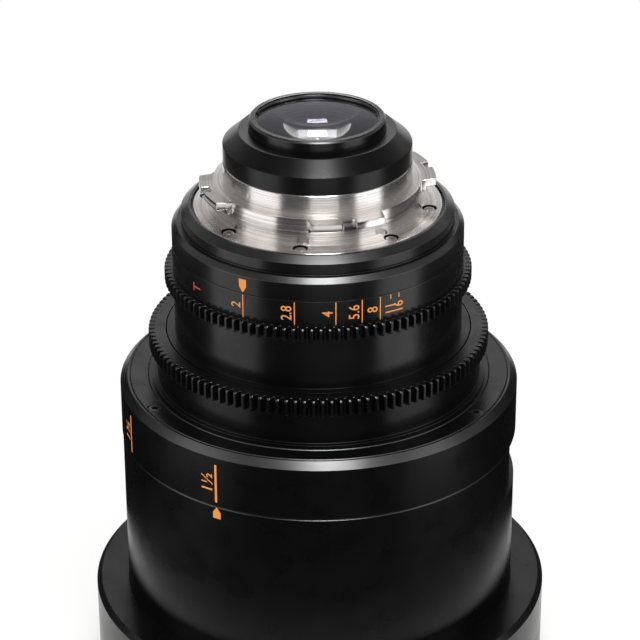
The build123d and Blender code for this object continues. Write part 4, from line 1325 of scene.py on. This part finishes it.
@dataclass
class FrontHousing(SubAssembly):
    """Fixed housing under the drum, with the distance pointer and the pocket."""

    node: str = "front_housing"
    wall: float = 3.7
    rim_height: float = 1.4
    web: float = 4.0
    socket: float = 39.72
    pocket_radius: float = 56.9
    pocket_azimuth: float = 97.0
    pocket_span: float = 76.0
    pocket_length: float = 16.0
    pocket_steps: int = 60
    edge: float = 0.2
    rim_chamfer: float = 0.5
    pointer_width: float = 2.5
    pointer_height: float = 3.6
    pointer_drop: float = 0.35

    def pocket_cutter(self) -> BMesh:
        """Make the cutter of the shallow pocket by turning a rectangle through its span.

        Returns:
            The cutter.
        """
        low, high = self.size.top - self.pocket_length, self.size.top + CUT_OVER
        inner, outer = self.pocket_radius, self.size.radius + CUT_OVER
        cutter = bmesh.new()
        turn = Matrix.Rotation(radians(INDEX_ANGLE + self.pocket_azimuth), 3, "Z")
        corners = ((inner, low), (outer, low), (outer, high), (inner, high))
        verts = [cutter.verts.new(turn @ Vector((r, 0, z))) for r, z in corners]
        face = cutter.faces.new(verts)
        spun(cutter, [face, *face.edges, *verts], radians(self.pocket_span), self.pocket_steps)
        bmesh.ops.recalc_face_normals(cutter, faces=cutter.faces)
        return cutter

    def shape(self) -> BMesh:
        """Turn the housing and cut its pocket.

        Returns:
            The housing.
        """
        size = self.size
        bore, web_top = size.radius - self.wall, size.top - self.rim_height
        web_bottom = web_top - self.web
        shape = turned([
            (bore, size.top), (size.radius - self.rim_chamfer, size.top),
            (size.radius, size.top - self.rim_chamfer), (size.radius, size.bottom), (bore, size.bottom),
            (bore, web_bottom), (self.socket, web_bottom), (self.socket, web_top), (bore, web_top),
        ])
        return rounded(carved(shape, self.pocket_cutter()), self.edge / 2)

    def build(self) -> None:
        """Make the housing and its pointer."""
        barrel = self.shape()
        finished(barrel, "front_barrel", BLASTED_BLACK, Body.HOUSING, self.node, edge_finish=CUT_EDGE)
        base = self.size.top - self.pointer_drop - self.pointer_height
        pointer = house(self.pointer_width, base, self.pointer_height, self.size.radius)
        finished(pointer, "distance_pointer", ORANGE_ENAMEL, Body.HOUSING)


@dataclass
class FrontBell(SubAssembly):
    """Front flange and bell, with the filter thread and the front glass ring."""

    node: str = "front_bell"
    spigot: float = 58.22
    chamfer: float = 1.5
    filter_bore: float = 63.5
    filter_length: float = 8.0
    wall: float = 60.5
    front_bottom: float = -137.0
    thread_pitch: float = 1.0
    thread_depth: float = 0.45
    thread_turns: int = 6
    edge: float = 0.25
    edge_angle: float = 50.0
    ring_width: float = 3.0
    ring_slope: Point = (1.2, 0.8)
    ring_edge: float = 0.15
    slot_width: float = 2.4
    slot_depth: float = 1.2
    slot_angle: float = 35.0

    def shape(self) -> BMesh:
        """Turn the bell, with the filter thread drawn as rings.

        Returns:
            The bell.
        """
        size, bore, pitch = self.size, self.filter_bore, self.thread_pitch
        filter_top, flank = size.bottom + self.filter_length, size.radius - self.chamfer
        outline = [
            (self.spigot, size.top), (flank, size.top), (size.radius, size.top - self.chamfer),
            (size.radius, size.bottom + self.chamfer), (flank, size.bottom), (bore, size.bottom),
        ]
        for turn in range(self.thread_turns):
            height = size.bottom + pitch * (turn + 0.5)
            outline += [(bore, height), (bore - self.thread_depth, height + pitch / 2)]
        outline += [
            (bore, size.bottom + pitch * (self.thread_turns + 0.5)), (bore, filter_top),
            (self.wall, filter_top), (self.wall, self.front_bottom), (self.spigot, self.front_bottom),
        ]
        return rounded(turned(outline), self.edge, angle=self.edge_angle)

    def ring_shape(self) -> BMesh:
        """Turn the ring that holds the front glass, with its spanner slots.

        Returns:
            The ring.
        """
        size = extent("front_retaining_ring")
        inner, (slope, rise) = extent("front_element").radius - self.ring_width, self.ring_slope
        shape = turned([
            (inner, size.top), (size.radius, size.top), (size.radius, size.bottom),
            (inner + slope, size.bottom), (inner, size.bottom + rise),
        ])
        rounded(shape, self.ring_edge)
        slot = (2 * (size.radius + CUT_OVER), self.slot_width, 2 * self.slot_depth)
        return carved(shape, add_block(bmesh.new(), slot, (0, 0, size.bottom), self.slot_angle))

    def build(self) -> None:
        """Make the bell and the front glass ring."""
        for shape, name, finish, replaced in (
            (self.shape(), "front_flange_bell", BLASTED_BLACK, self.node),
            (self.ring_shape(), "front_glass_ring", SATIN_BLACK, "front_retaining_ring"),
        ):
            finished(shape, name, finish, Body.HOUSING, replaced, edge_finish=CUT_EDGE)


class CarriedNodes:
    """CAD nodes that stay in sight, which get the finish of their slot."""

    def build(self) -> None:
        """Give every node its material."""
        slots = {s["node"]: Slot(s["material_slot"]) for s in frame["record"]["subparts"]}
        for name, node in frame["nodes"].items():
            finish = CARRIED_FINISHES[slots[name]]
            node.data.materials.clear()
            node.data.materials.append(finish.material())
            log.info("%s: %s", name, finish.name)


@dataclass(frozen=True)
class Softbox:
    """A soft studio lamp.

    Attributes:
        name: What it does.
        azimuth: Degrees from the camera's side, positive to the camera's right.
        distance: Metres from the optical axis.
        height: Metres of its middle above the seat plane.
        width: Metres across.
        length: Metres up.
        radiance: Brightness of its face, where 1 is paper white.
        through_glass: Whether it shows in what is seen through the glasses.
    """

    name: str
    azimuth: float
    distance: float
    height: float
    width: float
    length: float
    radiance: float
    through_glass: bool = True


@dataclass(frozen=True)
class Studio:
    """Camera, lamps, floor, cards and white surroundings of the photograph, in metres and degrees."""

    focal_pixels: float = 2635.0
    axis_column: float = 318.36
    elevation: float = 26.42
    azimuth: float = 29.7
    distance: float = 0.77
    aim_height: float = -0.0455
    roll: float = -0.323
    sensor: float = 36.0
    clip: Point = (0.05, 50.0)
    floor_side: float = 12.0
    floor_gap: float = 0.0002
    floor_colour: str = "F2F1EE"
    floor_reach: Point = (0.11, 0.24)
    floor_shift: float = 0.05
    fill: float = 0.5
    lamps: tuple[Softbox, ...] = (
        Softbox("overhead lamp", 8.0, 0.33, 0.60, 0.24, 0.30, 16.0, False),
        Softbox("top back box", 180.0, 0.42, 0.42, 0.26, 0.20, 9.0),
        Softbox("left strip", -64.0, 0.23, 0.0, 0.17, 0.31, 1.25),
        Softbox("right strip", 61.0, 0.23, 0.0, 0.14, 0.31, 1.5),
        Softbox("small back box", 180.0, 2.6, 1.31, 0.14, 0.11, 4.0),
    )
    level_height: float = 0.2  # lamps lower than this face the axis level
    card_colour: str = "1C1C1D"
    cards: tuple[Point, ...] = ((-150.0, -9.0), (24.0, 150.0))
    card_radius: float = 0.375
    card_top: float = 0.10
    card_gap: float = 0.001
    mat_radii: Point = (0.115, 0.36)
    ceiling_height: float = 1.6
    ceiling_hole: float = 0.001
    ceiling_radii: Point = (1.6, 8.0)
    ceiling_light: Point = (0.14, 1.0)
    card_steps: int = 32

    def direction(self, azimuth: float) -> Vector:
        """Return the level direction at an azimuth from the camera's side."""
        angle = radians(self.azimuth + INDEX_ANGLE + azimuth)
        return Vector((cos(angle), sin(angle), 0))

    def aimed(self, thing: bpy.types.Object, place: Vector, facing: Vector, roll: float = 0.0) -> None:
        """Put a camera or lamp at a place and turn it.

        Args:
            thing: The camera or lamp.
            place: Where it stands.
            facing: Which way it looks.
            roll: Degrees that it is rolled.
        """
        turn = facing.to_track_quat("-Z", "Y").to_matrix().to_4x4()
        thing.matrix_world = Matrix.Translation(place) @ turn @ Matrix.Rotation(radians(roll), 4, "Z")
        bpy.context.scene.collection.objects.link(thing)

    def add_camera(self) -> None:
        """Put the camera where the photograph was taken from."""
        tilt = radians(self.elevation)
        away = self.direction(0) * cos(tilt) + Vector((0, 0, sin(tilt)))
        data = bpy.data.cameras.new("photo camera")
        data.sensor_width = self.sensor
        data.lens = self.focal_pixels / PHOTO_SIDE * self.sensor
        data.shift_x = (PHOTO_SIDE / 2 - self.axis_column) / PHOTO_SIDE
        data.clip_start, data.clip_end = self.clip
        camera = bpy.data.objects.new("photo camera", data)
        self.aimed(camera, Vector((0, 0, self.aim_height)) + away * self.distance, -away, self.roll)
        bpy.context.scene.camera = camera

    def add_lamps(self) -> None:
        """Hang the softboxes, each facing the lens."""
        for lamp in self.lamps:
            data = bpy.data.lights.new(lamp.name, "AREA")
            data.shape = "RECTANGLE"
            data.size, data.size_y = lamp.width, lamp.length
            data.energy = lamp.radiance * pi * lamp.width * lamp.length
            place = self.direction(lamp.azimuth) * lamp.distance + Vector((0, 0, lamp.height))
            aim = Vector((0, 0, self.aim_height if lamp.height > self.level_height else lamp.height))
            holder = bpy.data.objects.new(lamp.name, data)
            holder.visible_camera = False
            holder.visible_transmission = lamp.through_glass
            self.aimed(holder, place, aim - place)

    def shown(self, tree: NodeTree) -> NodeSocket:
        """Tell the rays that the camera sees by, mirrored or through glass too, from those of light.

        Args:
            tree: Node tree of the world or a material.

        Returns:
            1 for what is seen and 0 for light.
        """
        path = add_node(tree, "ShaderNodeLightPath").outputs
        seen = {0: path["Is Camera Ray"], 1: path["Is Glossy Ray"]}
        seen = {0: add_node(tree, "ShaderNodeMath", seen, operation="MAXIMUM").outputs[0]}
        seen[1] = path["Is Transmission Ray"]
        return add_node(tree, "ShaderNodeMath", seen, operation="MAXIMUM").outputs[0]

    def add_world(self) -> None:
        """Surround the lens with white for the camera, and with soft grey light."""
        world = bpy.data.worlds.new("white studio")
        bpy.context.scene.world = world
        tree = cleared(world)
        share = {"Value": self.shown(tree), **limits((0.0, 1.0), (self.fill, 1.0))}
        strength = add_node(tree, "ShaderNodeMapRange", share).outputs[0]
        sky = add_node(tree, "ShaderNodeBackground", {"Color": (1, 1, 1, 1), "Strength": strength})
        add_node(tree, "ShaderNodeOutputWorld", {"Surface": sky.outputs[0]})

    def paper(self, tree: NodeTree) -> Node:
        """Make pale paper that keeps the shadow near the lens and is plain white further out.

        Args:
            tree: Node tree of the floor's material.

        Returns:
            The shader.
        """
        place = add_node(tree, "ShaderNodeTexCoord").outputs["Object"]
        shift = -self.direction(0) * self.floor_shift
        moved = add_node(tree, "ShaderNodeMapping", {"Vector": place, "Location": shift}).outputs[0]
        reach = add_node(tree, "ShaderNodeVectorMath", {0: moved}, operation="LENGTH").outputs["Value"]
        fade = {"Value": reach, **limits(self.floor_reach)}
        share = add_node(tree, "ShaderNodeMapRange", fade, interpolation_type="SMOOTHSTEP").outputs[0]
        both = {0: self.shown(tree), 1: share}
        white = add_node(tree, "ShaderNodeMath", both, operation="MULTIPLY").outputs[0]
        paper = add_node(tree, "ShaderNodeBsdfDiffuse", {"Color": linear(self.floor_colour)}).outputs[0]
        glow = add_node(tree, "ShaderNodeEmission", {"Color": (1, 1, 1, 1), "Strength": 1.0}).outputs[0]
        return add_node(tree, "ShaderNodeMixShader", {0: white, 1: paper, 2: glow})

    def black(self, tree: NodeTree) -> Node:
        """Make the black card that photographers darken reflections with."""
        return add_node(tree, "ShaderNodeBsdfDiffuse", {"Color": linear(self.card_colour)})

    def dim_glow(self, tree: NodeTree) -> Node:
        """Make the ceiling's light, which is bright over the far backdrop and dim above the lens.

        Args:
            tree: Node tree of the ceiling's material.

        Returns:
            The shader.
        """
        place = add_node(tree, "ShaderNodeTexCoord").outputs["Object"]
        fade = {"Value": axis_distance(tree, place), **limits(self.ceiling_radii, self.ceiling_light)}
        light = add_node(tree, "ShaderNodeMapRange", fade).outputs[0]
        return add_node(tree, "ShaderNodeEmission", {"Color": (1, 1, 1, 1), "Strength": light})

    def staged(self, name: str, shape: BMesh, surface: str, make: ShaderMaker) -> bpy.types.Object:
        """Set up a piece of the studio, which isn't part of the lens.

        Args:
            name: Name of the piece.
            shape: Its shape in metres.
            surface: Name of its material.
            make: Method that makes the material's shader.

        Returns:
            The piece.
        """
        material = bpy.data.materials.get(surface)
        if material is None:
            material = bpy.data.materials.new(surface)
            tree = cleared(material)
            add_node(tree, "ShaderNodeOutputMaterial", {"Surface": make(tree).outputs[0]})
        piece = placed(name, shape)
        piece.data.materials.append(material)
        return piece

    def add_card(
        self,
        name: str,
        surface: str,
        make: ShaderMaker,
        ends: tuple[Point, Point],
        arc: Point = (-180.0, 180.0),
    ) -> None:
        """Stand or lay a curved card round the lens, out of the camera's sight.

        Args:
            name: Name of the card.
            surface: Name of its material.
            make: Method that makes the material's shader.
            ends: Radius and height of the two ends of its cross-section.
            arc: Azimuths of its first and last end from the camera's side.
        """
        shape = bmesh.new()
        verts = [shape.verts.new(self.direction(arc[0]) * r + Vector((0, 0, z))) for r, z in ends]
        spun(shape, [*verts, shape.edges.new(verts)], radians(arc[1] - arc[0]), self.card_steps)
        card = self.staged(name, shape, surface, make)
        card.visible_camera = card.visible_diffuse = card.visible_shadow = False

    def add_cards(self) -> None:
        """Set up the black cards round the lens and the dim ceiling above it."""
        low, (near, far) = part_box("front_bell")[0].z + self.card_gap, self.mat_radii
        upright = ((self.card_radius, low), (self.card_radius, self.card_top))
        for number, arc in enumerate(self.cards, 1):
            self.add_card(f"black_card_{number}", "black card", self.black, upright, arc)
        self.add_card("black_mat", "black card", self.black, ((near, low), (far, low)))
        over = ((self.ceiling_hole, self.ceiling_height), (self.ceiling_radii[1], self.ceiling_height))
        self.add_card("dim_ceiling", "dim ceiling", self.dim_glow, over)

    def add_floor(self) -> None:
        """Lay the floor under the front rim."""
        shape = bmesh.new()
        place = Matrix.Translation((0, 0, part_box("front_bell")[0].z - self.floor_gap))
        bmesh.ops.create_grid(shape, x_segments=1, y_segments=1, size=self.floor_side / 2, matrix=place)
        self.staged("floor", shape, "pale paper floor", self.paper)

    def build(self) -> None:
        """Set up the studio."""
        self.add_camera()
        self.add_lamps()
        self.add_cards()
        self.add_world()
        self.add_floor()
        bpy.context.scene.view_settings.view_transform = "Standard"


def main() -> None:
    """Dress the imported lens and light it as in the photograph."""
    logging.basicConfig(level=logging.INFO, format="%(message)s")
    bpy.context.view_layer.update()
    CarriedNodes().build()
    for sub_assembly in (
        CameraMount(),
        RearOptics(),
        RearHousing(),
        IrisRings(),
        MainBarrel(),
        FocusRing(),
        FrontHousing(),
        FrontBell(),
    ):
        sub_assembly.build()
    Studio().build()


if __name__ == "__main__":
    main()
